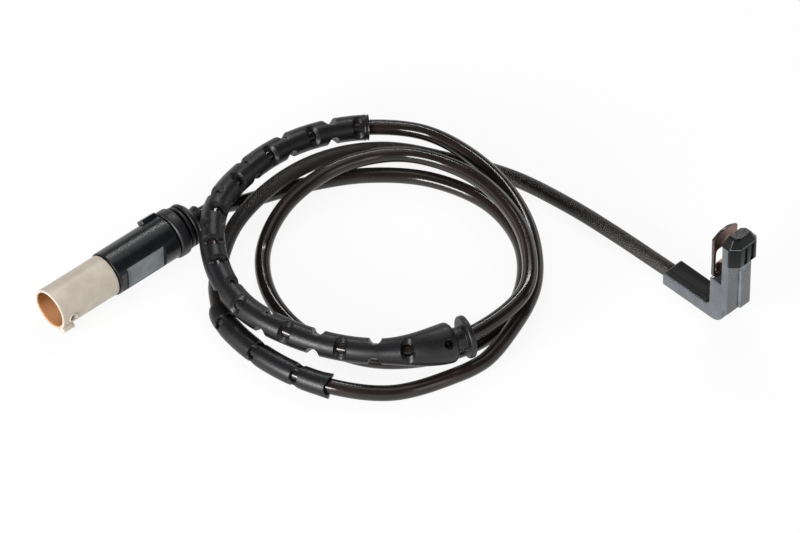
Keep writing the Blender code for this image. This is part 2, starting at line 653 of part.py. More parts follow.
def notch_cutters(name, line, start, end, pitch, diameter):
    """Pairs of opposite cross cuts, each pair turned a quarter from the last."""
    cuts = []
    count = int((end - start) / pitch) + 1
    for index in range(count):
        place = start + pitch * index
        centre, along = line.at(place), line.direction(place)
        across = along.cross(Vector((0, 0, 1))).normalized()
        above = across.cross(along)
        lean = above + across if index % 2 else above - across
        lean.normalize()
        for turn in (1, -1):
            seat = centre + lean * turn * diameter / 2
            wide = along.cross(lean) * diameter * NOTCH_REACH
            mesh = rod_mesh(NOTCH_RADIUS, seat - wide, seat + wide)
            cuts.append(make_cutter(f"{name}_notch_{index}_{'a' if turn > 0 else 'b'}", mesh))
    return cuts


def make_guide(name, line, start, end, diameter, swell_at=None):
    points = line.between(start, end, SLEEVE_SPACING)
    swell = None
    if swell_at:
        step = (end - start) / (len(points) - 1)
        swell = [swell_at(start + step * i) for i in range(len(points))]
    mesh = tube_mesh(points, diameter / 2, SLEEVE_RESOLUTION, capped=False, swell=swell)
    guide = place_mesh(name, mesh, guide_plastic, parts)
    wall = guide.modifiers.new("wall", "SOLIDIFY")
    wall.thickness = SLEEVE_WALL
    wall.offset = -1
    wall.use_even_offset = True
    return guide


def make_guides(line):
    short = make_guide("short_guide", line, SHORT_GUIDE_START, SHORT_GUIDE_END, SHORT_GUIDE_DIAMETER)
    apply_cuts(short, notch_cutters("short", line, SHORT_GUIDE_START + SHORT_NOTCH_FIRST,
                                    SHORT_GUIDE_END - SHORT_NOTCH_LAST, SHORT_NOTCH_PITCH,
                                    SHORT_GUIDE_DIAMETER))
    flare_start = LONG_GUIDE_END - BELL_LENGTH

    def swell_at(distance):
        top = BELL_DIAMETER / LONG_GUIDE_DIAMETER
        share = min(max((distance - flare_start) / (BELL_LENGTH - BELL_RIM), 0), 1)
        rim = max(distance - (LONG_GUIDE_END - BELL_RIM), 0) / BELL_RIM
        return 1 + (top - 1) * share - rim * BELL_RIM_INSET / (LONG_GUIDE_DIAMETER / 2)

    long = make_guide("long_guide", line, LONG_GUIDE_START, LONG_GUIDE_END, LONG_GUIDE_DIAMETER, swell_at)
    cuts = notch_cutters("long", line, LONG_GUIDE_START + LONG_NOTCH_FIRST, flare_start,
                         LONG_NOTCH_PITCH, LONG_GUIDE_DIAMETER)
    place = LONG_GUIDE_END - BELL_HOLE_DIAMETER
    centre, along = line.at(place), line.direction(place)
    across = along.cross(Vector((0, 0, 1))).normalized()
    outward = (across + across.cross(along) * BELL_HOLE_RISE).normalized()
    hole = rod_mesh(BELL_HOLE_DIAMETER / 2, centre + outward * LONG_GUIDE_DIAMETER / 2,
                    centre + outward * BELL_DIAMETER)
    cuts.append(make_cutter("bell_hole", hole))
    apply_cuts(long, cuts)


def make_grommet(line):
    """A rubber plug in the bell's mouth with a neck and a disc behind it."""
    plug = BELL_DIAMETER / 2 - BELL_RIM_INSET - SLEEVE_WALL - 2 * GAP
    neck, disc = GROMMET_NECK_DIAMETER / 2, GROMMET_DISC_DIAMETER / 2
    bore = LEAD_RADIUS + GROMMET_PLAY
    top = GROMMET_NECK_LENGTH + GROMMET_DISC_THICKNESS
    edge = GROMMET_EDGE
    profile = [(disc - edge, top), (disc, top - edge), (disc, GROMMET_NECK_LENGTH + edge),
               (disc - edge, GROMMET_NECK_LENGTH), (neck, GROMMET_NECK_LENGTH), (neck, 0),
               (plug, -GAP), (plug, -GROMMET_PLUG_LENGTH), (bore, -GROMMET_PLUG_LENGTH), (bore, top)]
    centre, along = line.at(LONG_GUIDE_END + GAP), line.direction(LONG_GUIDE_END + GAP)
    turn = along.to_track_quat("Z", "Y").to_matrix().to_4x4()
    place_mesh("guide_grommet", turned_mesh(profile), rubber, parts, Matrix.Translation(centre) @ turn)


def make_plug():
    place = plug_matrix()
    outer = HOUSING_DIAMETER / 2
    tail = SLEEVE_BORE - GAP
    profile = [(tail, HOUSING_END), (tail, HOUSING_FRONT), (outer, HOUSING_FRONT),
               (outer, MOUTH_CHAMFER), (outer - MOUTH_CHAMFER, 0), (BORE_RADIUS, 0),
               (BORE_RADIUS, HOUSING_END)]
    housing = place_mesh("plug_housing", turned_mesh(profile), natural_plastic, parts, place)
    rib = box_mesh((outer - HOUSING_WALL / 2, -RIB_WIDTH / 2, 0),
                   (outer + RIB_PROUD, RIB_WIDTH / 2, RIB_LENGTH))
    rib_turn = Matrix.Rotation(RIB_TURN, 4, "Z")
    apply_cuts(housing, [make_cutter("housing_rib", rib, place @ rib_turn)], "UNION")
    hole = rod_mesh(KEY_HOLE_DIAMETER / 2, (outer - HOUSING_WALL / 2, 0, KEY_HOLE_PLACE),
                    (outer + PAST, 0, KEY_HOLE_PLACE))
    hole_turn = Matrix.Rotation(KEY_HOLE_TURN, 4, "Z")
    apply_cuts(housing, [make_cutter("housing_hole", hole, place @ hole_turn)])

    wide = SLEEVE_DIAMETER / 2
    profile = [(wide, SLEEVE_END), (wide, SLEEVE_START), (SLEEVE_BORE, SLEEVE_START),
               (SLEEVE_BORE, SLEEVE_END)]
    sleeve = place_mesh("lock_sleeve", turned_mesh(profile, SLEEVE_TURN_STEPS), dark_plastic, parts, place)
    latch = box_mesh((-LATCH_WIDTH / 2, wide - SLEEVE_THICKNESS / 2, SLEEVE_END - LATCH_LENGTH),
                     (LATCH_WIDTH / 2, wide + LATCH_PROUD, SLEEVE_END))
    latch_turn = Matrix.Rotation(LATCH_TURN, 4, "Z")
    apply_cuts(sleeve, [make_cutter("sleeve_latch", latch, place @ latch_turn)], "UNION")
    flat_end = FLAT_START + FLAT_LENGTH
    plate = box_mesh((SLEEVE_FLAT, -wide, SLEEVE_START + FLAT_START),
                     (wide + PAST, wide, SLEEVE_START + flat_end))
    apply_cuts(sleeve, [make_cutter("sleeve_flat", plate, place)])

    body = BORE_RADIUS - GAP
    seal_end = SEAL_START + SEAL_LENGTH
    holder_rod = rod_mesh(body, (0, 0, HOLDER_START), (0, 0, HOLDER_END), TURN_STEPS)
    holder = place_mesh("terminal_holder", holder_rod, dark_plastic, parts, place)
    seal_rod = rod_mesh(body, (0, 0, SEAL_START), (0, 0, seal_end), TURN_STEPS)
    seal = place_mesh("wire_seal", seal_rod, seal_rubber, parts, place)
    thin, thick, tip = PIN_DIAMETER / 2, BARREL_DIAMETER / 2, PIN_TIP_DIAMETER / 2
    pin_end, barrel_start = HOLDER_END - PIN_INSET, HOLDER_START + BARREL_INSET
    profile = [(0, pin_end), (thick, pin_end), (thick, barrel_start), (thin, barrel_start - BARREL_TAPER),
               (thin, PIN_START + PIN_TIP_LENGTH), (tip, PIN_START), (0, PIN_START)]
    pin_holes, core_holes = [], []
    for n, side in {1: -1, 2: 1}.items():
        x, near = side * PIN_PITCH / 2, side * CONDUCTOR_PITCH / 2
        pin_hole = rod_mesh(thick + GAP, (x, 0, HOLDER_START - PAST), (x, 0, HOLDER_END + PAST))
        pin_holes.append(make_cutter(f"pin_hole_{n}", pin_hole, place))
        core_hole = rod_mesh(CORE_DIAMETER / 2 + GAP, (x, 0, SEAL_START - PAST), (x, 0, seal_end + PAST))
        core_holes.append(make_cutter(f"core_hole_{n}", core_hole, place))
        place_mesh(f"pin_terminal_{n}", turned_mesh(profile, PIN_STEPS, ring=False), brass, parts,
                   place @ Matrix.Translation((x, 0, 0)))
        points = [(x, 0, pin_end + GAP), (x, 0, seal_end + PAST), (near, 0, BOOT_CORE_START - 2 * PAST),
                  (near, 0, BOOT_CORE_START)]
        mesh = tube_mesh(rounded(points, BEND_RADIUS), CORE_DIAMETER / 2, WIRE_RESOLUTION)
        place_mesh(f"plug_core_{n}", mesh, core_colours[n], parts, place)
    apply_cuts(holder, pin_holes)
    apply_cuts(seal, core_holes)


def make_boot():
    """A soft boot: a wide collar on the plug, two rings, and a neck that flares where the lead comes in."""
    collar, ring = BOOT_COLLAR_DIAMETER / 2, BOOT_RING_DIAMETER / 2
    groove, neck, tail = BOOT_GROOVE_DIAMETER / 2, BOOT_NECK_DIAMETER / 2, BOOT_TAIL_DIAMETER / 2
    pocket, pocket_end = BOOT_POCKET_DIAMETER / 2, BOOT_START + BOOT_POCKET_DEPTH
    collar_end = BOOT_START + BOOT_COLLAR_THICKNESS
    ring_start = collar_end + BOOT_GROOVE_WIDTH
    ring_end = ring_start + BOOT_RING_WIDTH
    last_start = ring_end + BOOT_GROOVE_WIDTH
    last_end = last_start + BOOT_LAST_RING_WIDTH
    profile = [(tail, BOOT_END), (neck, BOOT_END - BOOT_TAIL_LENGTH), (neck, last_end + BOOT_EDGE),
               (ring - BOOT_CHAMFER, last_end), (ring, last_end - BOOT_CHAMFER), (ring, last_start),
               (groove, last_start), (groove, ring_end), (ring, ring_end), (ring, ring_start),
               (groove, ring_start), (groove, collar_end), (collar - BOOT_EDGE, collar_end),
               (collar, collar_end - BOOT_EDGE), (collar, BOOT_START + BOOT_EDGE),
               (collar - BOOT_EDGE, BOOT_START), (pocket, BOOT_START), (pocket, pocket_end),
               (LEAD_BORE, pocket_end + BOOT_POCKET_TAPER), (LEAD_BORE, BOOT_END)]
    place_mesh("plug_boot", turned_mesh(profile), rubber, parts, plug_matrix())


clear_scene()
parts = make_collection("brake_pad_wear_sensor")
cutters = make_collection("cutters")
plastic = make_material("grey_moulding", (0.10, 0.105, 0.11), 0.4)
dark_plastic = make_material("black_moulding", (0.02, 0.022, 0.025), 0.35)
guide_plastic = make_material("guide_nylon", (0.022, 0.021, 0.024), 0.4)
natural_plastic = make_material("natural_nylon", (0.55, 0.48, 0.40), 0.4)
rubber = make_material("black_rubber", (0.015, 0.015, 0.016), 0.5)
seal_rubber = make_material("seal_silicone", (0.45, 0.12, 0.05), 0.5)
lead_cloth = make_material("braided_yarn", (0.03, 0.026, 0.025), 0.6)
lead_rubber = make_material("lead_jacket", (0.025, 0.02, 0.02), 0.25)
bronze = make_material("spring_bronze", (0.35, 0.22, 0.14), 0.35, 1.0)
copper = make_material("copper_wire", (0.60, 0.25, 0.12), 0.3, 1.0)
brass = make_material("tinned_brass", (0.60, 0.52, 0.35), 0.3, 1.0)
core_colours = {1: make_material("core_black", (0.02, 0.02, 0.02), 0.4),
                2: make_material("core_brown", (0.15, 0.06, 0.02), 0.4)}

lead = lead_line()
make_sensor_body()
make_tower()
make_nose()
make_clip()
make_head_conductors()
make_lead(lead)
make_guides(lead)
make_grommet(lead)
make_plug()
make_boot()
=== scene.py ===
import math

import bmesh
import bpy
import numpy as np
from mathutils import Matrix, Vector


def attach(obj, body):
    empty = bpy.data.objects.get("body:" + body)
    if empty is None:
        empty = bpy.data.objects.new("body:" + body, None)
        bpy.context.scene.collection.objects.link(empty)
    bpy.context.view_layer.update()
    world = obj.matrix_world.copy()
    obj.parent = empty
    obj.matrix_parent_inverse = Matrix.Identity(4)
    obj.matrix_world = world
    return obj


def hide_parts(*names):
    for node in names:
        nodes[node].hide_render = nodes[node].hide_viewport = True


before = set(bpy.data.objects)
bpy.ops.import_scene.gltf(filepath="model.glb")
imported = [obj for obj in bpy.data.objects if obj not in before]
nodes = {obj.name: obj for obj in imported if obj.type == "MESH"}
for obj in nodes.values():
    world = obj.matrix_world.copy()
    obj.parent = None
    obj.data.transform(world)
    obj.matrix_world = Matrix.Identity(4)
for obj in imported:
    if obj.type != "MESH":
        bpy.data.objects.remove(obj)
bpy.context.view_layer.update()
mm = 0.001
sunk = 0.5 * mm   # how far below its surface a raised form starts
print("frame loaded:", len(nodes), "nodes")


def makePiece(name, patches, smooth=35):
    # each patch is a grid of points, rows by columns, joined into quads and closed round its columns;
    # it may also close along its rows, or with a flat face over its first and last row
    mesh = bpy.data.meshes.new(name)
    corners, sizes, slots, places, uvs = [], [], [], [], []
    first = 0
    for patch in patches:
        grid = np.asarray(patch["grid"], float)
        rows, columns = grid.shape[:2]
        index = first + np.arange(rows * columns).reshape(rows, columns)
        index = np.hstack([index, index[:, :1]])
        if patch.get("along", False):
            index = np.vstack([index, index[:1]])
        quads = np.stack([index[:-1, :-1], index[1:, :-1], index[1:, 1:], index[:-1, 1:]], axis=-1)
        keep = np.ones(quads.shape[:2], bool) if patch.get("keep") is None else patch["keep"]
        slot = np.zeros(quads.shape[:2], int) + patch.get("slot", 0)
        uv = patch.get("uv")
        if uv is None:
            uv = np.stack(np.meshgrid(np.arange(index.shape[0]), np.arange(index.shape[1]), indexing="ij"), -1)
        uvQuads = np.stack([uv[:-1, :-1], uv[1:, :-1], uv[1:, 1:], uv[:-1, 1:]], axis=-2)[keep]
        quads, slot = quads[keep], slot[keep]
        loops, counts = quads.reshape(-1), np.full(len(quads), 4)
        uvLoops = uvQuads.reshape(-1, 2)
        if patch.get("caps", False):
            ends = index[:, :columns]
            loops = np.concatenate([loops, ends[0], ends[-1][::-1]])
            counts = np.concatenate([counts, [columns, columns]])
            slot = np.concatenate([slot, [slot[0], slot[-1]]])
            uvLoops = np.concatenate([uvLoops, uv[0, :columns], uv[-1, :columns][::-1]])
        places.append(grid.reshape(-1, 3))
        loops, uvLoops = outward(places[-1], loops - first, counts, uvLoops)
        corners.append(loops + first)
        sizes.append(counts)
        slots.append(slot)
        uvs.append(uvLoops)
        first += rows * columns
    places, corners, sizes = np.concatenate(places), np.concatenate(corners), np.concatenate(sizes)
    mesh.vertices.add(len(places))
    mesh.vertices.foreach_set("co", places.reshape(-1))
    mesh.loops.add(len(corners))
    mesh.loops.foreach_set("vertex_index", corners.astype(np.int32))
    mesh.polygons.add(len(sizes))
    mesh.polygons.foreach_set("loop_start", np.concatenate([[0], np.cumsum(sizes)[:-1]]).astype(np.int32))
    mesh.polygons.foreach_set("material_index", np.concatenate(slots).astype(np.int32))
    layer = mesh.uv_layers.new(name="surface")
    layer.data.foreach_set("uv", np.concatenate(uvs).reshape(-1))
    mesh.update(calc_edges=True)
    mesh.validate()
    mesh.shade_smooth()
    mesh.set_sharp_from_angle(angle=math.radians(smooth))
    piece = bpy.data.objects.new(name, mesh)
    bpy.context.scene.collection.objects.link(piece)
    return piece


def outward(points, loops, counts, uvLoops):
    # the signed volume of the fans under all faces is negative where they point inwards
    starts = np.concatenate([[0], np.cumsum(counts)[:-1]])
    owner = np.repeat(np.arange(len(counts)), counts)
    following = np.arange(len(loops)) + 1
    following[starts + counts - 1] = starts
    centre = points.mean(axis=0)
    a, b = points[loops] - centre, points[loops[following]] - centre
    middle = (np.add.reduceat(points[loops], starts) / counts[:, None])[owner] - centre
    if np.einsum("ij,ij->i", middle, np.cross(a, b)).sum() < 0:
        back = starts[owner] + counts[owner] - 1 - (np.arange(len(loops)) - starts[owner])
        loops, uvLoops = loops[back], uvLoops[back]
    return loops, uvLoops


def readCurve(points, step):
    # a centripetal Catmull-Rom curve through the points, read again at equal steps of its length
    points = np.asarray(points, float)
    points = np.vstack([2 * points[0] - points[1], points, 2 * points[-1] - points[-2]])
    a, b, c, d = (points[k:len(points) - 3 + k, None] for k in range(4))
    gap = np.sqrt(np.linalg.norm(np.diff(points, axis=0), axis=1))[:, None, None]
    k1 = gap[:-2]
    k2 = k1 + gap[1:-1]
    k3 = k2 + gap[2:]
    t = k1 + (k2 - k1) * np.linspace(0, 1, 40, endpoint=False)[None, :, None]
    ab, bc, cd = a + (b - a) * t / k1, b + (c - b) * (t - k1) / (k2 - k1), c + (d - c) * (t - k2) / (k3 - k2)
    abc, bcd = ab + (bc - ab) * t / k2, bc + (cd - bc) * (t - k1) / (k3 - k1)
    line = np.vstack([(abc + (bcd - abc) * (t - k1) / (k2 - k1)).reshape(-1, 3), points[-2]])
    marks = np.concatenate([[0], np.cumsum(np.linalg.norm(np.diff(line, axis=0), axis=1))])
    reading = np.linspace(0, marks[-1], int(round(marks[-1] / step)) + 1)
    return readAt(line, marks, reading), reading


def readAt(line, marks, distance):
    return np.stack([np.interp(distance, marks, line[:, k]) for k in range(3)], axis=-1)


def framesAlong(line):
    # at each point the direction, the level direction across it and the one above both
    along = np.gradient(line, axis=0)
    along /= np.linalg.norm(along, axis=1, keepdims=True)
    across = np.cross(along, [0, 0, 1])
    across /= np.linalg.norm(across, axis=1, keepdims=True)
    return along, across, np.cross(across, along)


def ringPoints(line, marks, distance, angle, radius):
    # a point at a distance along the line, at an angle round it and a radius out from it
    along, across, above = framesAlong(line)
    centre = readAt(line, marks, distance)
    side, top = readAt(across, marks, distance), readAt(above, marks, distance)
    return centre + radius[..., None] * (np.cos(angle)[..., None] * side + np.sin(angle)[..., None] * top)


def wallTube(name, line, marks, start, end, outerAt, wall, stations, columns=80, rowStep=1.2 * mm,
             edge=0.2 * mm, endCut=None, insideSlot=0):
    # one closed tube: rows go along its outside and back along its inside. Each station is a place with
    # openings, given by three functions of the angle round the tube: half the opening's length outside,
    # half its length inside, and the height its side has at an offset from the place
    angle = np.linspace(0, 2 * np.pi, columns, endpoint=False)
    low, high = np.full(columns, start), end - (endCut(angle) if endCut else 0 * angle)
    soft = np.array([0, 0.08, 0.3, 0.62, 1.0]) * edge
    solid = np.ones(columns, bool)
    rows, keep, cuts = [low + d for d in soft], [solid] * 4, []
    for place, outside, inside, sideAt in stations:
        a = np.maximum(outside(angle), 0.9 * mm)
        b = np.minimum(np.maximum(inside(angle), 0.35 * mm), a - 0.25 * mm)
        through = inside(angle) > 0.05 * mm
        gone = through & np.roll(through, -1)
        # over the opening's rim, down its side to the hole, across the hole and up again
        plain, rim = a + 0.12 * mm, a - 0.1 * mm
        offsets = [-plain, -rim, *(-rim + (rim - b) * t for t in (0.35, 0.7, 1)),
                   *(b * t for t in (-0.6, -0.2, 0.2, 0.6, 1)), *(b + (rim - b) * t for t in (0.3, 0.65, 1)), plain]
        first = place + offsets[0]
        count = max(1, int(np.ceil((first - rows[-1]).max() / rowStep)))
        rows += [rows[-1] + (first - rows[-1]) * t for t in np.arange(1, count + 1) / count]
        keep += [solid] * count
        cuts.append((len(rows) - 1, place, sideAt, through))
        rows += [place + o for o in offsets[1:]]
        keep += [solid] * 4 + [~gone] * 5 + [solid] * 4
    count = max(2, int(np.ceil((high - edge - rows[-1]).max() / rowStep)))
    rows += [rows[-1] + (high - edge - rows[-1]) * t for t in np.arange(1, count + 1) / count]
    rows += [high - d for d in soft[::-1][1:]]
    keep += [solid] * (count + 4)
    distance = np.array(rows)
    angles = np.broadcast_to(angle, distance.shape)
    outer = outerAt(distance)
    inner = outer - wall
    for first, place, sideAt, through in cuts:
        # a station has fourteen rows, and the six in their middle bound its hole
        band, hole = slice(first, first + 14), slice(first + 4, first + 10)
        side = sideAt(distance[band] - place, angles[band])
        plain = outer[band]
        # the cut's rim is rounded by a soft minimum of both surfaces
        share = np.clip(0.5 + 0.5 * (plain - side) / (0.3 * mm), 0, 1)
        soften = plain + (side - plain) * share - 0.3 * mm * share * (1 - share)
        outer[band] = np.maximum(soften, inner[band])
        outer[hole] = np.where(through, inner[hole], outer[hole])
    turnIn = quarterRound(distance, distance[0], distance[-1], edge)
    outer, inner = outer - turnIn, inner + turnIn
    both = np.vstack([distance, distance[::-1]])
    grid = ringPoints(line, marks, both, np.vstack([angles, angles]), np.vstack([outer, inner[::-1]]))
    mask = np.array(keep + [solid] + keep[::-1] + [solid])
    slot = np.zeros(mask.shape, int)
    slot[len(keep) + 1:-1] = insideSlot
    u = np.hstack([both, both[:, :1]]) / mm
    u = np.vstack([u, u[:1]])
    v = np.broadcast_to(np.linspace(0, 2 * np.pi * outer.mean() / mm, columns + 1), u.shape)
    piece = makePiece(name, [dict(grid=grid, along=True, keep=mask, slot=slot, uv=np.stack([u, v], -1))])
    mergeSeams(piece)
    return piece


def quarterRound(place, low, high, edge):
    # how far a surface draws in, within an edge's radius of both its ends, to follow a quarter circle
    fromEnd = np.minimum(place - low, high - place)
    return edge - np.sqrt(np.clip(edge ** 2 - np.clip(edge - fromEnd, 0, None) ** 2, 0, None))


def mergeSeams(piece):
    work = bmesh.new()
    work.from_mesh(piece.data)
    bmesh.ops.remove_doubles(work, verts=work.verts, dist=0.002 * mm)
    work.to_mesh(piece.data)
    work.free()


def holeStation(place, middle, halfLong, halfWide, outer, repeats=1, power=2):
    # holes with steep sides, evenly repeated round the tube: inside the outline where
    # (offset / halfLong) ^ power + (distance round the tube / halfWide) ^ power = 1
    step = 2 * np.pi / repeats

    def away(turn):
        return outer * np.abs((turn - middle + step / 2) % step - step / 2)

    def half(turn, less):
        left = np.clip(1 - (away(turn) / (halfWide - less)) ** power, 0, None)
        return (halfLong - less) * left ** (1 / power)

    def sideAt(offset, turn):
        off = (np.abs(offset / halfLong) ** power + (away(turn) / halfWide) ** power) ** (1 / power)
        drop = np.clip((1 - off) * halfLong / (0.3 * mm), 0, 1)
        return outer - 1.6 * mm * drop + 1 * mm * (off > 1.1)

    return place, lambda turn: half(turn, 0), lambda turn: half(turn, 0.3 * mm), sideAt


def softenEdges(piece, edge, angle):
    bevel = piece.modifiers.new("edges", "BEVEL")
    bevel.width, bevel.segments = edge, 2
    bevel.limit_method, bevel.angle_limit = "ANGLE", math.radians(angle)
    bevel.harden_normals = True


def roundCorners(corners, steps=5):
    # each corner of (x, y, radius) becomes an arc that touches both its sides
    line = []
    count = len(corners)
    for k, (x, y, radius) in enumerate(corners):
        if not radius:
            line.append([[x, y]])
            continue
        corner = np.array([x, y])
        back = np.array(corners[k - 1][:2]) - corner
        ahead = np.array(corners[(k + 1) % count][:2]) - corner
        back, ahead = back / np.linalg.norm(back), ahead / np.linalg.norm(ahead)
        half = math.acos(np.clip(back @ ahead, -1, 1)) / 2
        middle = (back + ahead) / np.linalg.norm(back + ahead)
        centre = corner + middle * radius / math.sin(half)
        spread = math.pi / 2 - half
        turn = math.copysign(1, back[0] * ahead[1] - back[1] * ahead[0])
        way = math.atan2(-middle[1], -middle[0]) - turn * np.linspace(-spread, spread, steps + 1)
        line.append(centre + radius * np.stack([np.cos(way), np.sin(way)], -1))
    return np.vstack(line)


def makeTurned(name, profile, place, start=0.0):
    # a profile of (radius, height, corner radius) in millimetres, swept round the height axis
    outline = roundCorners(np.array(profile) * mm)
    angle = np.linspace(0, 2 * np.pi, 96, endpoint=False)
    radius, height = outline[:, :1], start + outline[:, 1:]
    grid = np.stack([radius * np.cos(angle), radius * np.sin(angle), height + 0 * angle], -1)
    return makePiece(name, [dict(grid=carry(grid, place), along=True)])


def layeredPatch(outline, levels, toWorld):
    # an outline drawn in at each level by its inset, which rounds the edges of both flat ends
    ahead, behind = np.roll(outline, -1, axis=0), np.roll(outline, 1, axis=0)
    way = ahead - behind
    way /= np.linalg.norm(way, axis=1, keepdims=True)
    area = (outline[:, 0] * ahead[:, 1] - ahead[:, 0] * outline[:, 1]).sum()
    inward = np.stack([-way[:, 1], way[:, 0]], -1) * math.copysign(1, area)
    levels = np.asarray(levels, float)
    flat = outline[None] + inward[None] * levels[:, 1, None, None]
    height = np.broadcast_to(levels[:, 0, None, None], flat.shape[:2] + (1,))
    return dict(grid=toWorld(np.concatenate([flat, height], -1)), caps=True)


def roundedLevels(low, high, radius):
    # heights and insets of a quarter circle at each end, each in four steps
    turn = np.linspace(0, math.pi / 2, 5)
    rise, inset = radius * (1 - np.sin(turn)), radius * (1 - np.cos(turn))
    return np.vstack([np.stack([low + rise, inset], -1)[::-1], np.stack([high - rise, inset], -1)])


def stripOutline(low, high, half, nearRadius, farRadius):
    # a strip's outline, across it and along it, with a corner radius for each of its ends
    return roundCorners([(-half, low, nearRadius), (half, low, nearRadius), (half, high, farRadius),
                         (-half, high, farRadius)])


def standingOut(place, start=0.0):
    # lays a strip along a round body, whose axis is the place's own: its height becomes the distance from the axis
    return lambda grid: carry(np.stack([grid[..., 2], grid[..., 0], start + grid[..., 1]], -1), place)


def carry(grid, place):
    matrix = np.array(place)
    return grid @ matrix[:3, :3].T + matrix[:3, 3]


def hexColour(text):
    # sRGB hex to linear
    value = np.array([int(text[k:k + 2], 16) for k in (0, 2, 4)]) / 255
    linear = np.where(value <= 0.04045, value / 12.92, ((value + 0.055) / 1.055) ** 2.4)
    return (*linear, 1)


def outputOf(source):
    # a node stands for its first output
    return source.outputs[0] if isinstance(source, bpy.types.Node) else source


def addNode(tree, kind, settings=None, links=None):
    # settings go to the node's own properties or, by socket name or number, to its inputs
    node = tree.nodes.new(kind)
    for key, value in (settings or {}).items():
        if isinstance(key, str) and hasattr(node, key):
            setattr(node, key, value)
        else:
            node.inputs[key].default_value = value
    for key, source in (links or {}).items():
        tree.links.new(outputOf(source), node.inputs[key])
    return node


def startMaterial(name, shaderSettings):
    material = bpy.data.materials.new(name)
    material.use_nodes = True
    tree = material.node_tree
    tree.nodes.clear()
    shader = addNode(tree, "ShaderNodeBsdfPrincipled", shaderSettings)
    addNode(tree, "ShaderNodeOutputMaterial", links={"Surface": shader})
    return material, tree, shader, addNode(tree, "ShaderNodeTexCoord").outputs["Object"]


def endMaterial(material, shader, colour, rough, height=None, strength=0.0, depth=0.05 * mm):
    # links colour, roughness and, where there is any, relief to the shader
    tree = material.node_tree
    ends = {"Base Color": colour, "Roughness": rough}
    if height:
        ends["Normal"] = addNode(tree, "ShaderNodeBump", {"Strength": strength, "Distance": depth},
                                 {"Height": height})
    for socket, source in ends.items():
        tree.links.new(outputOf(source), shader.inputs[socket])
    return material


def rampBetween(tree, source, stops):
    ramp = addNode(tree, "ShaderNodeValToRGB", links={0: source})
    while len(ramp.color_ramp.elements) < len(stops):
        ramp.color_ramp.elements.new(0.5)
    for element, (place, colour) in zip(ramp.color_ramp.elements, stops):
        element.position = place
        element.color = hexColour(colour) if isinstance(colour, str) else (colour, colour, colour, 1)
    return ramp


def mouldedSurface(name, colours, roughness, grain, bump, shaderSettings=None):
    # a moulded plastic or rubber: flow clouds in the colour, a fine spark-eroded grain in the relief,
    # and a roughness that wanders with both
    material, tree, shader, place = startMaterial(name, shaderSettings or {})
    cloud = addNode(tree, "ShaderNodeTexNoise", {"Scale": 160.0, "Detail": 3.0, "Roughness": 0.55},
                    {"Vector": place})
    fine = addNode(tree, "ShaderNodeTexNoise", {"Scale": 1 / grain, "Detail": 2.0, "Roughness": 0.6},
                   {"Vector": place})
    colour = rampBetween(tree, cloud, [(0.32, colours[0]), (0.68, colours[1])])
    rough = rampBetween(tree, fine, [(0.3, roughness[0]), (0.7, roughness[1])])
    return endMaterial(material, shader, colour, rough, fine, bump)


def leadJacket():
    # extruded thermoplastic elastomer: brown-black, polished by the die, with faint draw lines along it
    material, tree, shader, place = startMaterial("extruded elastomer jacket", {
        "IOR": 1.5, "Specular IOR Level": 0.4, "Coat Weight": 0.08, "Coat Roughness": 0.08})
    uv = addNode(tree, "ShaderNodeUVMap", {"uv_map": "surface"})
    drawn = addNode(tree, "ShaderNodeMapping", {"Scale": (0.02, 2.2, 1.0)}, {"Vector": uv})
    lines = addNode(tree, "ShaderNodeTexNoise", {"Scale": 1.0, "Detail": 2.0}, {"Vector": drawn})
    cloud = addNode(tree, "ShaderNodeTexNoise", {"Scale": 90.0, "Detail": 3.0}, {"Vector": place})
    colour = rampBetween(tree, cloud, [(0.3, "1A1514"), (0.7, "261F1D")])
    rough = rampBetween(tree, lines, [(0.3, 0.13), (0.7, 0.19)])
    return endMaterial(material, shader, colour, rough, lines, 0.03)


def leadBraid():
    # braided polyester yarn: two families of threads wound both ways, 0.83 mm apart, over and under
    material, tree, shader, place = startMaterial("braided polyester yarn", {"IOR": 1.5})
    uv = addNode(tree, "ShaderNodeUVMap", {"uv_map": "surface"})
    parts = addNode(tree, "ShaderNodeSeparateXYZ", links={0: uv})
    pitch = 1.665   # of two threads, in millimetres along the lead
    turns = []
    for sign in (1, -1):
        lean = addNode(tree, "ShaderNodeMath", {"operation": "MULTIPLY", 1: float(sign)}, {0: parts.outputs[1]})
        both = addNode(tree, "ShaderNodeMath", {"operation": "ADD"}, {0: parts, 1: lean})
        phase = addNode(tree, "ShaderNodeMath", {"operation": "MULTIPLY", 1: 2 * math.pi / pitch},
                        {0: both})
        turns.append(addNode(tree, "ShaderNodeMath", {"operation": "SINE"}, {0: phase}))
    cross = addNode(tree, "ShaderNodeMath", {"operation": "MULTIPLY"}, {0: turns[0], 1: turns[1]})
    height = addNode(tree, "ShaderNodeMath", {"operation": "ABSOLUTE"}, {0: cross})
    # paler where a thread lies over the other: partly the weave, partly a painted highlight on the threads' tops
    weaveAndHighlight = addNode(tree, "ShaderNodeMath", {"operation": "MULTIPLY_ADD", 1: 0.5, 2: 0.5}, {0: cross})
    fuzz = addNode(tree, "ShaderNodeTexNoise", {"Scale": 2500.0, "Detail": 2.0}, {"Vector": place})
    colour = rampBetween(tree, weaveAndHighlight, [(0.15, "0B0908"), (0.6, "171311"), (0.97, "3A332F")])
    rough = rampBetween(tree, fuzz, [(0.3, 0.28), (0.7, 0.42)])
    return endMaterial(material, shader, colour, rough, height, 0.6, 0.18 * mm)


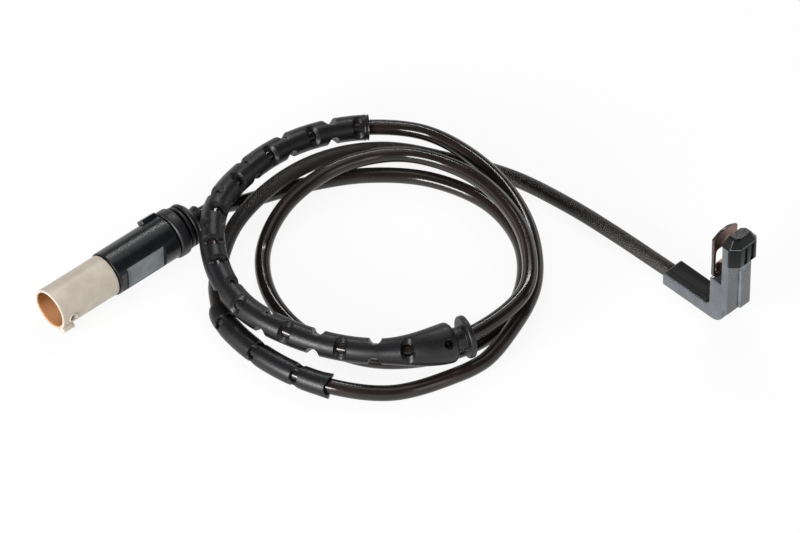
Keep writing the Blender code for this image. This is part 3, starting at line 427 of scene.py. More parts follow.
def rolledBronze():
    # tin bronze strip: rolled, so fine lines run along it, with a warm brown tarnish in patches
    material, tree, shader, place = startMaterial("rolled tin bronze strip", {"Metallic": 1.0})
    drawn = addNode(tree, "ShaderNodeMapping", {"Scale": (4000.0, 4000.0, 120.0)}, {"Vector": place})
    lines = addNode(tree, "ShaderNodeTexNoise", {"Scale": 1.0, "Detail": 2.0}, {"Vector": drawn})
    cloud = addNode(tree, "ShaderNodeTexNoise", {"Scale": 260.0, "Detail": 3.0}, {"Vector": place})
    colour = rampBetween(tree, cloud, [(0.3, "6A544A"), (0.55, "907568"), (0.8, "B89C8E")])
    rough = rampBetween(tree, lines, [(0.3, 0.26), (0.7, 0.42)])
    return endMaterial(material, shader, colour, rough, lines, 0.15, 0.03 * mm)


def drawnMetal(name, colours, roughness):
    # a drawn or plated wire or pin: bright, with faint handling marks
    material, tree, shader, place = startMaterial(name, {"Metallic": 1.0})
    cloud = addNode(tree, "ShaderNodeTexNoise", {"Scale": 900.0, "Detail": 3.0}, {"Vector": place})
    colour = rampBetween(tree, cloud, [(0.3, colours[0]), (0.7, colours[1])])
    rough = rampBetween(tree, cloud, [(0.3, roughness[0]), (0.7, roughness[1])])
    return endMaterial(material, shader, colour, rough)


def paintedGlowNylon():
    # natural nylon from inside: a painted glow, amber for light coming through the wall, and painted paler towards
    # the paper below
    material, tree, shader, place = startMaterial("natural nylon inside, painted glow", {"IOR": 1.53})
    parts = addNode(tree, "ShaderNodeSeparateXYZ", links={0: place})
    # painted light: the colour grows paler lower down, for light from the paper glowing through the wall
    low = addNode(tree, "ShaderNodeMapRange", {1: 2 * mm, 2: 14 * mm, 3: 0.8, 4: -0.3}, {0: parts.outputs[2]})
    cloud = addNode(tree, "ShaderNodeTexNoise", {"Scale": 220.0, "Detail": 3.0}, {"Vector": place})
    both = addNode(tree, "ShaderNodeMath", {"operation": "MULTIPLY_ADD", 1: 0.3},
                   {0: cloud, 2: low})
    colour = rampBetween(tree, both, [(0.1, "5E3519"), (0.5, "97602F"), (1.0, "CC9468")])
    rough = rampBetween(tree, cloud, [(0.3, 0.4), (0.7, 0.5)])
    return endMaterial(material, shader, colour, rough)


# glass-filled nylon: a hard mid grey whose fibres break up the sheen
greyNylon = mouldedSurface("glass-filled nylon moulding", ("3B3F44", "4C5156"), (0.2, 0.32), 0.35 * mm, 0.35,
                           {"IOR": 1.53, "Specular IOR Level": 0.85})
# the same nylon drawn brown black on the arm's top: painted shade, as the top catches less light
shadedTopNylon = mouldedSurface("brown-black nylon, painted shade on top", ("110F0F", "1A1817"), (0.34, 0.46), 0.35 * mm, 0.3,
                           {"IOR": 1.53, "Specular IOR Level": 0.1})
# the same nylon drawn pale: a painted highlight on edges that catch the light
paintedHighlightNylon = mouldedSurface("nylon edge, painted highlight", ("666E73", "7E868B"), (0.22, 0.34), 0.35 * mm, 0.2,
                                {"IOR": 1.53})
# polyphenylene sulphide: dense, near black, with a soft sheen
blackMoulding = mouldedSurface("black PPS moulding", ("0A0B0C", "121314"), (0.16, 0.26), 0.3 * mm, 0.3,
                               {"IOR": 1.5, "Specular IOR Level": 0.2})
# polyamide: blue black and satin, smoother than the head
sleevePolyamide = mouldedSurface("black polyamide moulding", ("0B0D0F", "111416"), (0.24, 0.34), 0.3 * mm, 0.25,
                                 {"IOR": 1.53, "Specular IOR Level": 0.4})
# the sleeve's flat: the same plastic from a coarse spark-eroded face of the tool, drawn paler: a painted sheen for
# the light its rough face scatters
erodedFlatPaintedSheen = mouldedSurface("spark-eroded polyamide, painted sheen", ("62686C", "7A8084"), (0.42, 0.56), 0.45 * mm, 0.5,
                            {"IOR": 1.53})
# the guides' soft polyamide: satin, with a slightly wavy skin
guidePolyamide = mouldedSurface("soft polyamide moulding", ("0E0E10", "171719"), (0.32, 0.46), 0.6 * mm, 0.4,
                                {"IOR": 1.5, "Specular IOR Level": 0.38})
# EPDM rubber: matt, moulded, faintly dusty
blackRubber = mouldedSurface("moulded EPDM rubber", ("101012", "18181B"), (0.36, 0.5), 0.4 * mm, 0.4,
                             {"IOR": 1.48})
sealRubber = mouldedSurface("moulded silicone", ("8A3A1C", "A34A28"), (0.4, 0.5), 0.4 * mm, 0.2, {"IOR": 1.41})
# uncoloured nylon: warm and milky outside; inside, a painted amber glow for light coming through the wall
naturalNylon = mouldedSurface("natural nylon moulding", ("B0A496", "BFB4A6"), (0.34, 0.44), 0.5 * mm, 0.25,
                              {"IOR": 1.53})
amberPaintedGlow = paintedGlowNylon()
jacket, braid, bronze = leadJacket(), leadBraid(), rolledBronze()
# the strip's sheared edge: grey, burnished by the die
shearedEdge = drawnMetal("sheared bronze edge", ("57524F", "7A736E"), (0.28, 0.42))
copperWire = drawnMetal("drawn copper wire", ("B0633F", "C98560"), (0.22, 0.34))
tinnedPin = drawnMetal("tin plated brass", ("A9A594", "C9C6B8"), (0.2, 0.32))
blackCore = mouldedSurface("black extruded insulation", ("141414", "1E1E1E"), (0.3, 0.4), 0.3 * mm, 0.1)
brownCore = mouldedSurface("brown extruded insulation", ("3A2214", "4A2C1B"), (0.3, 0.4), 0.3 * mm, 0.1)
print("materials made")


def dress(piece, materials):
    for material in materials:
        piece.data.materials.append(material)
    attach(piece, "root")


camera = dict(azimuth=45.65, elevation=45.33, roll=-0.41, distance=2500 * mm, lens=336.9,
              aim=(-84.18 * mm, -61.35 * mm, 0.0))
lens = bpy.data.cameras.new("camera")
lens.lens, lens.sensor_width = camera["lens"], 36.0
lens.clip_start, lens.clip_end = 0.05, 20.0
viewer = bpy.data.objects.new("camera", lens)
turnRound, lift = math.radians(camera["azimuth"]), math.radians(camera["elevation"])
back = Vector((math.sin(turnRound) * math.cos(lift), -math.cos(turnRound) * math.cos(lift), math.sin(lift)))
viewer.location = Vector(camera["aim"]) + back * camera["distance"]
viewer.rotation_euler = ((-back).to_track_quat("-Z", "Y").to_matrix()
                         @ Matrix.Rotation(math.radians(camera["roll"]), 3, "Z")).to_euler()
bpy.context.scene.collection.objects.link(viewer)
bpy.context.scene.camera = viewer
print("camera set")


lead = dict(
    diameter=5.3 * mm, braided=240 * mm, ringStep=1.1 * mm, sides=64, lowest=2.7 * mm,
    entry=(-17.0, -0.8, 2.6),
    # route from the head to the plug, in millimetres
    route=[
        (-42, -1.5, 2.8), (-64, -3, 2.8), (-86, -7, 2.8), (-106.5, -16, 2.8), (-125, -27.5, 3),
        (-133.5, -47, 6.8), (-135, -70, 9.2), (-132.5, -91.5, 6), (-121.5, -110, 3.2), (-113, -118, 4.2),
        (-103.5, -123.5, 4.4), (-81.5, -125.5, 4.4), (-59.5, -120, 4.3), (-42.5, -106, 2.8),
        (-33.5, -85.5, 2.8), (-31.5, -74, 2.8), (-32.5, -62, 6), (-39.5, -43.5, 8.4), (-55.5, -27.5, 8.6),
        (-75.5, -17.5, 9), (-97.5, -14, 9.3), (-119.5, -16.5, 7.6), (-136, -30.5, 7.6),
        (-143.5, -51.5, 10.5), (-143.5, -74, 12.8), (-136, -96.5, 14.8), (-120.5, -111.5, 13),
        (-100.5, -119, 12), (-79, -116.5, 11.8), (-59, -107, 11.8), (-43, -91.5, 12.8),
        (-36, -73.5, 13), (-37, -50, 14.3), (-52.5, -33.5, 14.3), (-73, -24.5, 13.2), (-95, -22, 10.6),
        (-115.5, -30, 9), (-125.5, -48.5, 9.5), (-128, -70.5, 6), (-120, -90, 2.8),
        (-102.5, -103.5, 2.8), (-80.5, -107.5, 2.8), (-59, -101, 2.8), (-44.5, -85, 2.8),
        (-38.5, -64, 2.8), (-45.5, -43, 2.8), (-61, -27.5, 2.8), (-82, -21.5, 2.8), (-104, -27, 2.8),
        (-121, -41, 2.8), (-133, -60, 2.8), (-140.5, -78, 3), (-142.5, -87.5, 5.8)],
    runOut=(67.6, 62.6, 57.6))   # last stretch, on the plug's axis from its mouth

plug = dict(mouth=(-146.0, -163.0, 7.9), yaw=86.6, pitch=0.9)
yaw, pitch = math.radians(plug["yaw"]), math.radians(plug["pitch"])
plugAxis = Vector((math.cos(yaw) * math.cos(pitch), math.sin(yaw) * math.cos(pitch), math.sin(pitch)))
plugSide = Vector((math.sin(yaw), -math.cos(yaw), 0))
plugPlace = (Matrix.Translation(Vector(plug["mouth"]) * mm)
             @ Matrix((plugSide, plugAxis.cross(plugSide), plugAxis)).transposed().to_4x4())

tail = [plugPlace @ Vector((0, 0, height * mm)) for height in lead["runOut"]]
leadLine, leadMarks = readCurve([np.array(lead["entry"]) * mm, *(np.array(lead["route"]) * mm), *tail],
                                lead["ringStep"])
leadLine[:, 2] = np.maximum(leadLine[:, 2], lead["lowest"])


def makeLead():
    # rings of the lead's radius along its line; u runs along it and v round it, both in millimetres
    radius = lead["diameter"] / 2
    angle = np.linspace(0, 2 * np.pi, lead["sides"], endpoint=False)
    distance, angle = np.meshgrid(leadMarks, angle, indexing="ij")
    grid = ringPoints(leadLine, leadMarks, distance, angle, np.full(distance.shape, radius))
    u, v = np.meshgrid(leadMarks / mm, np.linspace(0, 2 * np.pi * radius, lead["sides"] + 1) / mm, indexing="ij")
    piece = makePiece("lead", [dict(grid=grid, caps=True, uv=np.stack([u, v], -1),
                                    slot=leadMarks[:-1, None] > lead["braided"])])
    dress(piece, [braid, jacket])
    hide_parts("lead_braided", "lead_smooth")
    return piece


leadPiece = makeLead()
print("lead:", round(float(leadMarks[-1]) * 1000), "mm")


guides = dict(
    wall=1.15 * mm, longWall=1.5 * mm, notch=2.1 * mm,
    short=dict(start=219.0 * mm, end=272.5 * mm, radius=4.0 * mm, places=(226.5, 243.5, 260.5),
               slotLong=1.35 * mm, slotWide=2.5 * mm, turn=math.radians(38), nubLength=3.2 * mm, nubDepth=0.6 * mm,
               flareLength=6 * mm, flareRise=0.3 * mm, cutDepth=1.6 * mm, cutTurn=0.6),
    # the notches turn slowly round the guide as it bends; quarter says how far each one is turned on
    long=dict(start=467.5 * mm, end=661.0 * mm, radius=4.35 * mm,
              places=(471.5, 481.2, 489.5, 499, 508, 517.5, 526.5, 535.5, 543, 549.5, 557, 566, 576.5, 585.5,
                      596, 605, 615, 624, 635, 645.5),
              quarter=(0, 1, 0, 1, 0, 1, 0, 1, 0, 1, 0, 0.4, 1, 0, 1, 0, 1, 0, 1, 0),
              turnStart=535 * mm, turnEnd=580 * mm, ringsEnd=1.8 * mm, ringPitch=1.3 * mm, ringDepth=0.14 * mm),
    bell=dict(length=23.5 * mm, rise=2.55 * mm, rim=2.2 * mm, inset=1.3 * mm, hole=1.5 * mm, holePlace=3.0 * mm))


def notchStation(place, lean, reach, outer, wall):
    # two round cutters laid across the tube at opposite sides: at an angle t from a notch's middle and an
    # offset s along the tube, the cutter's surface is (outer - sqrt(reach² - s²)) / cos t from the axis
    def nearest(turn):
        return (turn - lean + np.pi / 2) % np.pi - np.pi / 2

    def half(depth):
        return np.sqrt(np.clip(reach ** 2 - depth ** 2, 0, None))

    def sideAt(offset, turn):
        bend = np.maximum(np.cos(nearest(turn)), 0.2)
        return np.where(np.abs(offset) < reach, (outer - half(offset)) / bend, outer + 1 * mm)

    return (place, lambda turn: half(outer * (1 - np.cos(nearest(turn)))),
            lambda turn: half(outer - (outer - wall) * np.cos(nearest(turn))), sideAt)


def makeShortGuide():
    s = guides["short"]

    def radiusAt(distance):
        # one end closes to a rounded nub, and the other flares to a fishtail
        nub = np.clip(1 - (distance - s["start"]) / s["nubLength"], 0, 1)
        flare = np.clip(1 - (s["end"] - distance) / s["flareLength"], 0, 1)
        return s["radius"] - s["nubDepth"] * nub ** 2 + s["flareRise"] * flare ** 2

    stations = [holeStation(place * mm, s["turn"], s["slotLong"], s["slotWide"], s["radius"], 4, 4)
                for place in s["places"]]
    piece = wallTube("shortGuide", leadLine, leadMarks, s["start"], s["end"], radiusAt, guides["wall"], stations,
                     endCut=lambda turn: s["cutDepth"] * np.cos(turn - s["cutTurn"]) ** 2)
    dress(piece, [guidePolyamide])
    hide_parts("short_guide")
    return piece


def makeLongGuide():
    s, bell = guides["long"], guides["bell"]

    def radiusAt(distance):
        # a straight cone eased at its start, a rim that turns in, and fine rings at the other end
        lift = np.clip((distance - (s["end"] - bell["length"])) / (bell["length"] - bell["rim"]), 0, 1)
        lift = 0.45 * lift + 0.55 * lift * lift * (3 - 2 * lift)
        rim = np.clip((distance - (s["end"] - bell["rim"])) / bell["rim"], 0, 1)
        fromStart = distance - s["start"]
        rings = s["ringDepth"] * (fromStart < s["ringsEnd"]) * np.cos(fromStart * 2 * np.pi / s["ringPitch"])
        return s["radius"] + bell["rise"] * lift - bell["inset"] * rim ** 3 + rings

    hole = s["end"] - bell["holePlace"]
    places = np.array(s["places"]) * mm
    turned = np.clip((places - s["turnStart"]) / (s["turnEnd"] - s["turnStart"]), 0, 1)
    lean = 3 * math.pi / 4 - math.pi / 2 * turned * turned * (3 - 2 * turned)
    lean = lean + math.pi / 2 * np.array(s["quarter"])
    stations = [notchStation(place, turn, guides["notch"], float(radiusAt(place)), guides["longWall"])
                for place, turn in zip(places, lean)]
    stations.append(holeStation(hole, math.radians(42), bell["hole"], bell["hole"], float(radiusAt(hole))))
    piece = wallTube("longGuide", leadLine, leadMarks, s["start"], s["end"], radiusAt, guides["longWall"], stations,
                     rowStep=0.65 * mm)
    dress(piece, [guidePolyamide])
    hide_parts("long_guide")
    return piece


grommet = dict(
    place=661.3 * mm,
    # radius, height and corner radius in millimetres: disc, the lead's bore, the plug in the bell, neck
    profile=[(7.3, 3.4, 0.6), (7.3, 5.4, 0.6), (2.75, 5.4, 0.2), (2.75, -4.0, 0), (3.95, -4.0, 0.4),
             (3.95, -0.3, 0), (4.2, 0, 0), (4.2, 3.4, 0.5)])


def makeGrommet():
    before, centre, after = readAt(leadLine, leadMarks, grommet["place"] + np.array([-1, 0, 1]) * mm)
    way = Vector(after - before).normalized()
    place = Matrix.Translation(Vector(centre)) @ way.to_track_quat("Z", "Y").to_matrix().to_4x4()
    piece = makeTurned("grommet", grommet["profile"], place)
    dress(piece, [blackRubber])
    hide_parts("guide_grommet")
    return piece


onTheLead = [makeShortGuide(), makeLongGuide(), makeGrommet()]
print("guides and grommet made")


housing = dict(radius=7.4 * mm, wall=1.1 * mm, length=24.0 * mm,
               # the narrower tail inside the sleeve: radius, height and corner radius in millimetres
               tail=[(6.1, 23.0, 0), (6.1, 48.0, 0.3), (5.6, 48.0, 0), (5.6, 23.0, 0)],
               hole=1.25 * mm, holePlace=4.2 * mm, holeTurn=math.radians(6), ringHalf=0.3 * mm, ringRise=0.28 * mm,
               ribHalf=1.3 * mm, ribLength=4.6 * mm, ribRise=1.6 * mm, ribTurn=math.radians(42))
axisLead = 2 * mm   # the plug's axis line starts this far before its mouth
axisMarks = np.linspace(0, 62 * mm, 63)
axisLine = np.array([plugPlace @ Vector((0, 0, t)) for t in axisMarks - axisLead])


def makeHousing():
    h = housing
    # the tube's angle runs the other way round than the plug's own
    hole = holeStation(axisLead + h["holePlace"], -h["holeTurn"], h["hole"], h["hole"], h["radius"])
    piece = wallTube("plugHousing", axisLine, axisMarks, axisLead, axisLead + h["length"],
                     lambda distance: h["radius"] + 0 * distance, h["wall"], [hole], columns=144,
                     edge=0.32 * mm, insideSlot=1)
    # the housing's inside takes the painted amber glow
    dress(piece, [naturalNylon, amberPaintedGlow])
    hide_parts("plug_housing")
    tailTube = makeTurned("housingTail", h["tail"], plugPlace)
    # the tail takes the painted amber glow as well
    dress(tailTube, [amberPaintedGlow])
    return piece, tailTube


def makeKeyRib():
    # a low rib at the mouth's edge, and a raised ring round the key hole
    h = housing
    outline = stripOutline(0, h["ribLength"], h["ribHalf"], 0.25 * mm, 0.5 * mm)
    levels = roundedLevels(h["radius"] - sunk, h["radius"] + h["ribRise"], 0.3 * mm)
    stand = standingOut(plugPlace @ Matrix.Rotation(h["ribTurn"], 4, "Z"))
    rib = makePiece("keyRib", [layeredPatch(outline, levels, stand)])
    angle = np.linspace(0, 2 * np.pi, 48, endpoint=False)
    tube = np.linspace(0, 2 * np.pi, 12, endpoint=False)
    ringRadius = h["hole"] + h["ringHalf"] * (1 + np.cos(tube)[:, None])
    lift = h["radius"] + h["ringRise"] * np.sin(tube)[:, None]
    across = ringRadius * np.cos(angle)
    # the ring follows the tube's round side
    spread = across / h["radius"]
    grid = np.stack([(lift + 0 * angle) * np.cos(spread), lift * np.sin(spread),
                     h["holePlace"] + ringRadius * np.sin(angle)], -1)
    place = plugPlace @ Matrix.Rotation(h["holeTurn"], 4, "Z")
    ring = makePiece("keyHoleRing", [dict(grid=carry(grid, place), along=True)])
    for piece in (rib, ring):
        dress(piece, [naturalNylon])
    return rib, ring


sleeve = dict(start=24.3 * mm, length=26.0 * mm, radius=7.9 * mm, bore=7.45 * mm, sides=144,
              flat=6.3 * mm, flatStart=3.9 * mm, flatEnd=19.6 * mm,
              strip=6.9 * mm, stripStart=1.0 * mm, stripEnd=3.5 * mm, rib=7.25 * mm,
              latchTurn=math.radians(222), latchHalf=2.0 * mm, latchStart=20.0 * mm, latchRise=1.3 * mm)


def makeLockSleeve():
    s = sleeve
    wide, step = s["radius"], 0.12 * mm
    # along the sleeve: a round lip, a strip, a thin rib, the flat, and round again
    heights = np.array([0, s["stripStart"], s["stripStart"] + step, s["stripEnd"], s["stripEnd"] + step,
                        s["flatStart"] - step, s["flatStart"], s["flatEnd"], s["flatEnd"] + step, s["length"]])
    limit = np.array([wide, wide, s["strip"], s["strip"], s["rib"], s["rib"], s["flat"], s["flat"], wide, wide])
    edge = 0.3 * mm
    soft = edge * np.array([0.2, 0.5, 1.0])
    fine = np.unique(np.concatenate([heights, np.linspace(0, s["length"], 40), soft, s["length"] - soft]))
    limit, radius = np.interp(fine, heights, limit), wide - quarterRound(fine, 0, s["length"], edge)
    angle = np.linspace(0, 2 * np.pi, s["sides"], endpoint=False)
    out = np.stack([np.minimum(radius[:, None] * np.cos(angle), limit[:, None]), radius[:, None] * np.sin(angle),
                    s["start"] + fine[:, None] + 0 * angle], -1)
    inner = np.stack([s["bore"] * np.cos(angle), s["bore"] * np.sin(angle)], -1)
    inner[:, 0] = np.minimum(inner[:, 0], s["flat"] - 0.3 * mm)
    ends = [np.concatenate([inner, np.full((s["sides"], 1), s["start"] + h)], -1)[None] for h in (s["length"], 0)]
    # the flat takes the paler colour, a painted sheen
    onFlat = (fine[:-1] > s["flatStart"] - 0.01 * mm) & (fine[1:] < s["flatEnd"] + 0.01 * mm)
    across = wide * np.cos(angle) > s["flat"]
    slot = np.zeros((len(fine) + 2, s["sides"]), int)
    slot[:len(fine) - 1] = onFlat[:, None] & (across & np.roll(across, -1))
    body = dict(grid=carry(np.concatenate([out, *ends]), plugPlace), along=True, slot=slot)
    # the latch tab at the sleeve's rear end
    tab = stripOutline(s["latchStart"], s["length"], s["latchHalf"], 0.5 * mm, 0.3 * mm)
    stand = standingOut(plugPlace @ Matrix.Rotation(s["latchTurn"], 4, "Z"), s["start"])
    latch = layeredPatch(tab, roundedLevels(wide - sunk, wide + s["latchRise"], 0.35 * mm), stand)
    piece = makePiece("lockSleeve", [body, latch])
    softenEdges(piece, 0.14 * mm, 30)
    dress(piece, [sleevePolyamide, erodedFlatPaintedSheen])
    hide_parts("lock_sleeve")
    return piece


boot = dict(
    start=50.6 * mm,
    # radius, height above the start and corner radius in millimetres: tail, neck, two rings with grooves
    # between, collar, the pocket over the sleeve's end and the lead's bore
    profile=[(4.2, 14.0, 0.35), (3.7, 11.8, 0.8), (3.7, 11.3, 0.5), (6.6, 9.5, 0.5), (7.8, 8.3, 0.5),
             (7.8, 7.1, 0.4), (6.3, 7.1, 0.25), (6.3, 6.3, 0.25), (7.8, 6.3, 0.4), (7.8, 5.0, 0.4),
             (6.3, 5.0, 0.25), (6.3, 4.2, 0.25), (8.6, 4.2, 0.9), (8.6, 0.0, 0.9), (5.2, 0.0, 0.0),
             (5.2, 5.0, 0.0), (2.75, 6.5, 0.0), (2.75, 14.0, 0.0)])


def makeBoot():
    piece = makeTurned("plugBoot", boot["profile"], plugPlace, boot["start"])
    dress(piece, [blackRubber])
    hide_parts("plug_boot")
    return piece


onTheLead += [*makeHousing(), *makeKeyRib(), makeLockSleeve(), makeBoot()]
print("plug made")


head = dict(
    shift=(-16.7 * mm, -0.8 * mm), armLength=21.2 * mm, armWidth=8.8 * mm, armHeight=5.2 * mm,
    legDepth=6.3 * mm, legHeight=18.4 * mm, heel=5.0 * mm, inner=2.2 * mm,
    ribStart=1.5 * mm, ribEnd=17.5 * mm, ribHalf=1.9 * mm, ribRise=0.16 * mm,
    towerWidth=10.2 * mm, towerBack=26.9 * mm, towerFront=30.6 * mm, towerFoot=7.5 * mm, towerTop=37.7 * mm,
    # below seatTop the tower leans on the leg, and below footTop its back slopes forward
    towerSeat=27.8 * mm, seatTop=18.75 * mm, footTop=8.8 * mm, footSlope=1.3 * mm,
    panelDepth=0.8 * mm, panelSide=0.2 * mm, panelTop=24.6 * mm, panelRise=3.6 * mm,
    collarFront=33.4 * mm, collarHalf=5.7 * mm, collarLow=30.3 * mm,
    leftCut=2.6 * mm, rightCut=1.3 * mm, farCut=2.2 * mm,   # the collar's and the cap's cut corners
    grooveDepth=0.6 * mm, grooves=((-1.1 * mm, 0.1 * mm), (1.9 * mm, 3.1 * mm)),
    # the cap's heights above its seat and its share of the rim's outline there
    cap=[(-0.3, 0.985), (-0.2, 1.0), (0.45, 1.0), (0.55, 0.95), (1.6, 0.85), (2.7, 0.74), (3.5, 0.645), (3.8, 0.6),
         (4.0, 0.55)])


def inHead(grid):
    return grid + np.array([head["shift"][0], head["shift"][1], 0.0])


def makeHeadMoulding():
    h = head
    front = h["armLength"] + h["legDepth"]
    outline = roundCorners([
        (0, 0, 0.6 * mm), (front, 0, h["heel"]), (front, h["legHeight"], 0.4 * mm),
        (h["armLength"], h["legHeight"], 0.4 * mm), (h["armLength"], h["armHeight"], h["inner"]),
        (0, h["armHeight"], 0.6 * mm)], steps=8)
    levels = roundedLevels(-h["armWidth"] / 2, h["armWidth"] / 2, 0.4 * mm)
    # the arm's top and the leg's inner face get the darker nylon as painted shade, between the four steps of both
    # edges
    x, z = outline[:, 0], outline[:, 1]
    paintedShadeMask = (x > 0.5 * mm) & (x < h["armLength"] + 0.1 * mm) & (z > h["armHeight"] - 0.1 * mm)
    slot = np.zeros((len(levels) - 1, len(outline)), int)
    slot[4:-4] = paintedShadeMask & np.roll(paintedShadeMask, -1)

    def stand(grid):
        return inHead(np.stack([grid[..., 0], -grid[..., 2], grid[..., 1]], -1))

    # a low rib along the arm's top, over the conductors, in the same painted shade
    rib = stripOutline(h["ribStart"], h["ribEnd"], h["ribHalf"], 0.5 * mm, 0.5 * mm)[:, ::-1]
    ribLevels = roundedLevels(h["armHeight"] - sunk, h["armHeight"] + h["ribRise"], 0.15 * mm)
    piece = makePiece("headMoulding", [layeredPatch(outline, levels, stand) | dict(slot=slot),
                                       layeredPatch(rib, ribLevels, inHead) | dict(slot=1)])
    dress(piece, [greyNylon, shadedTopNylon])
    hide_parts("sensor_body")


def makeTower():
    # an upright loft: its outline across the head, with the right half of the front standing proud below
    # a sloping edge
    h = head
    half, side, back, front = h["towerWidth"] / 2, h["panelSide"], h["towerBack"], h["towerFront"]
    outline = roundCorners([
        (back, -half, 0.3 * mm), (front, -half, 0.35 * mm), (front, side - 0.12 * mm, 0),
        (front, side + 0.12 * mm, 0), (front, half - 2.4 * mm, 0), (front, half, 0.35 * mm), (back, half, 0.3 * mm)])
    heights = np.unique(np.concatenate([
        np.linspace(h["towerFoot"], h["towerTop"], 61),
        [h["legHeight"], h["seatTop"], h["towerFoot"] + 0.2 * mm, h["footTop"]]]))
    x, y = outline[:, 0], outline[:, 1]
    edge = h["panelTop"] + h["panelRise"] * np.clip((y - side) / (half - side), 0, 1)
    z = heights[:, None]
    proud = np.clip((edge - z) / (0.5 * mm), 0, 1) * (y > side)
    onFront = x > front - 0.4 * mm
    grow = np.clip((h["seatTop"] - z) / (0.35 * mm), 0, 1)
    backX = back + (h["towerSeat"] - back) * grow + np.clip(h["footTop"] - z, 0, h["footSlope"])
    px = np.where(onFront, x + h["panelDepth"] * (proud - 0.5), np.maximum(x, backX))
    grid = np.stack([px, y + 0 * z, z + 0 * x], -1)
    # the panel's step, upright and along its sloping top, is drawn pale: a painted highlight
    around = np.hstack([proud, proud[:, :1]])
    nearby = np.stack([around[:-1, :-1], around[1:, :-1], around[:-1, 1:], around[1:, 1:]])
    stepped = nearby.max(axis=0) - nearby.min(axis=0) > 0.2
    slot = stepped & onFront & np.roll(onFront, -1)
    piece = makePiece("contactTower", [dict(grid=inHead(grid), caps=True, slot=slot)])
    softenEdges(piece, 0.12 * mm, 40)
    dress(piece, [greyNylon, paintedHighlightNylon])
    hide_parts("contact_tower")


def makeNose():
    h = head
    half, back, front = h["collarHalf"], h["towerBack"], h["collarFront"]
    seat = h["towerFront"] - h["panelDepth"] / 2 - 0.1 * mm   # just inside the tower's front
    # the collar: in front of the tower, with upright grooves
    groove, step = front - h["grooveDepth"], 0.1 * mm
    grooves = [(x, y, step) for low, high in h["grooves"]
               for x, y in ((front, low - step), (groove, low), (groove, high), (front, high + step))]
    left, right, far = h["leftCut"], h["rightCut"], h["farCut"]
    collar = roundCorners([
        (seat, -half, 0), (front - left, -half, 0.3 * mm), (front, -half + left, 0.3 * mm), *grooves,
        (front, half - right, 0.3 * mm), (front - right, half, 0.3 * mm), (seat, half, 0)])
    # the cap: a plain rim that draws in to a small flat top over hipped sides
    rim = roundCorners([
        (back, -half, 0.4 * mm), (front - left, -half, 0.5 * mm), (front, -half + left, 0.5 * mm),
        (front, half - right, 0.5 * mm), (front - right, half, 0.5 * mm), (back + far, half, 0.3 * mm),
        (back, half - far, 0.3 * mm)])
    top = h["towerTop"] + 0.3 * mm
    centre = np.array([(back + front) / 2, 0.0])
    cap = np.stack([np.concatenate([centre + (rim - centre) * share, np.full((len(rim), 1), top + rise * mm)], -1)
                    for rise, share in h["cap"]])
    # the rim's ledge along the front is drawn pale: a painted highlight
    ahead = rim[:, 0] > front - 3 * mm
    slot = np.zeros((len(cap) - 1, len(rim)), int)
    slot[2] = ahead & np.roll(ahead, -1)
    piece = makePiece("wearNose", [
        layeredPatch(collar, roundedLevels(h["collarLow"], top + 0.2 * mm, 0.15 * mm), inHead),
        dict(grid=inHead(cap), caps=True, slot=slot)], smooth=25)
    softenEdges(piece, 0.15 * mm, 25)
    dress(piece, [blackMoulding, paintedHighlightNylon])
    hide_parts("wear_nose")


clip = dict(out=22.4 * mm, thick=1.1 * mm, left=4.7 * mm, right=6.5 * mm, top=36.7 * mm, arch=2.0 * mm,
            foot=3.0 * mm, footLow=15.2 * mm, base=18.7 * mm, windowLow=20.6 * mm, windowTop=31.2 * mm,
            windowHalf=3.4 * mm, edge=0.2 * mm,
            tongueOut=26.1 * mm, tongueHalf=2.8 * mm, tongueThick=0.5 * mm,
            # the tongue's places: share of its reach forward, and share of the window's height
            tongue=[(0.02, 0.1), (-0.06, 0.26), (0.12, 0.44), (0.72, 0.62), (0.95, 0.78), (0.7, 0.95)])


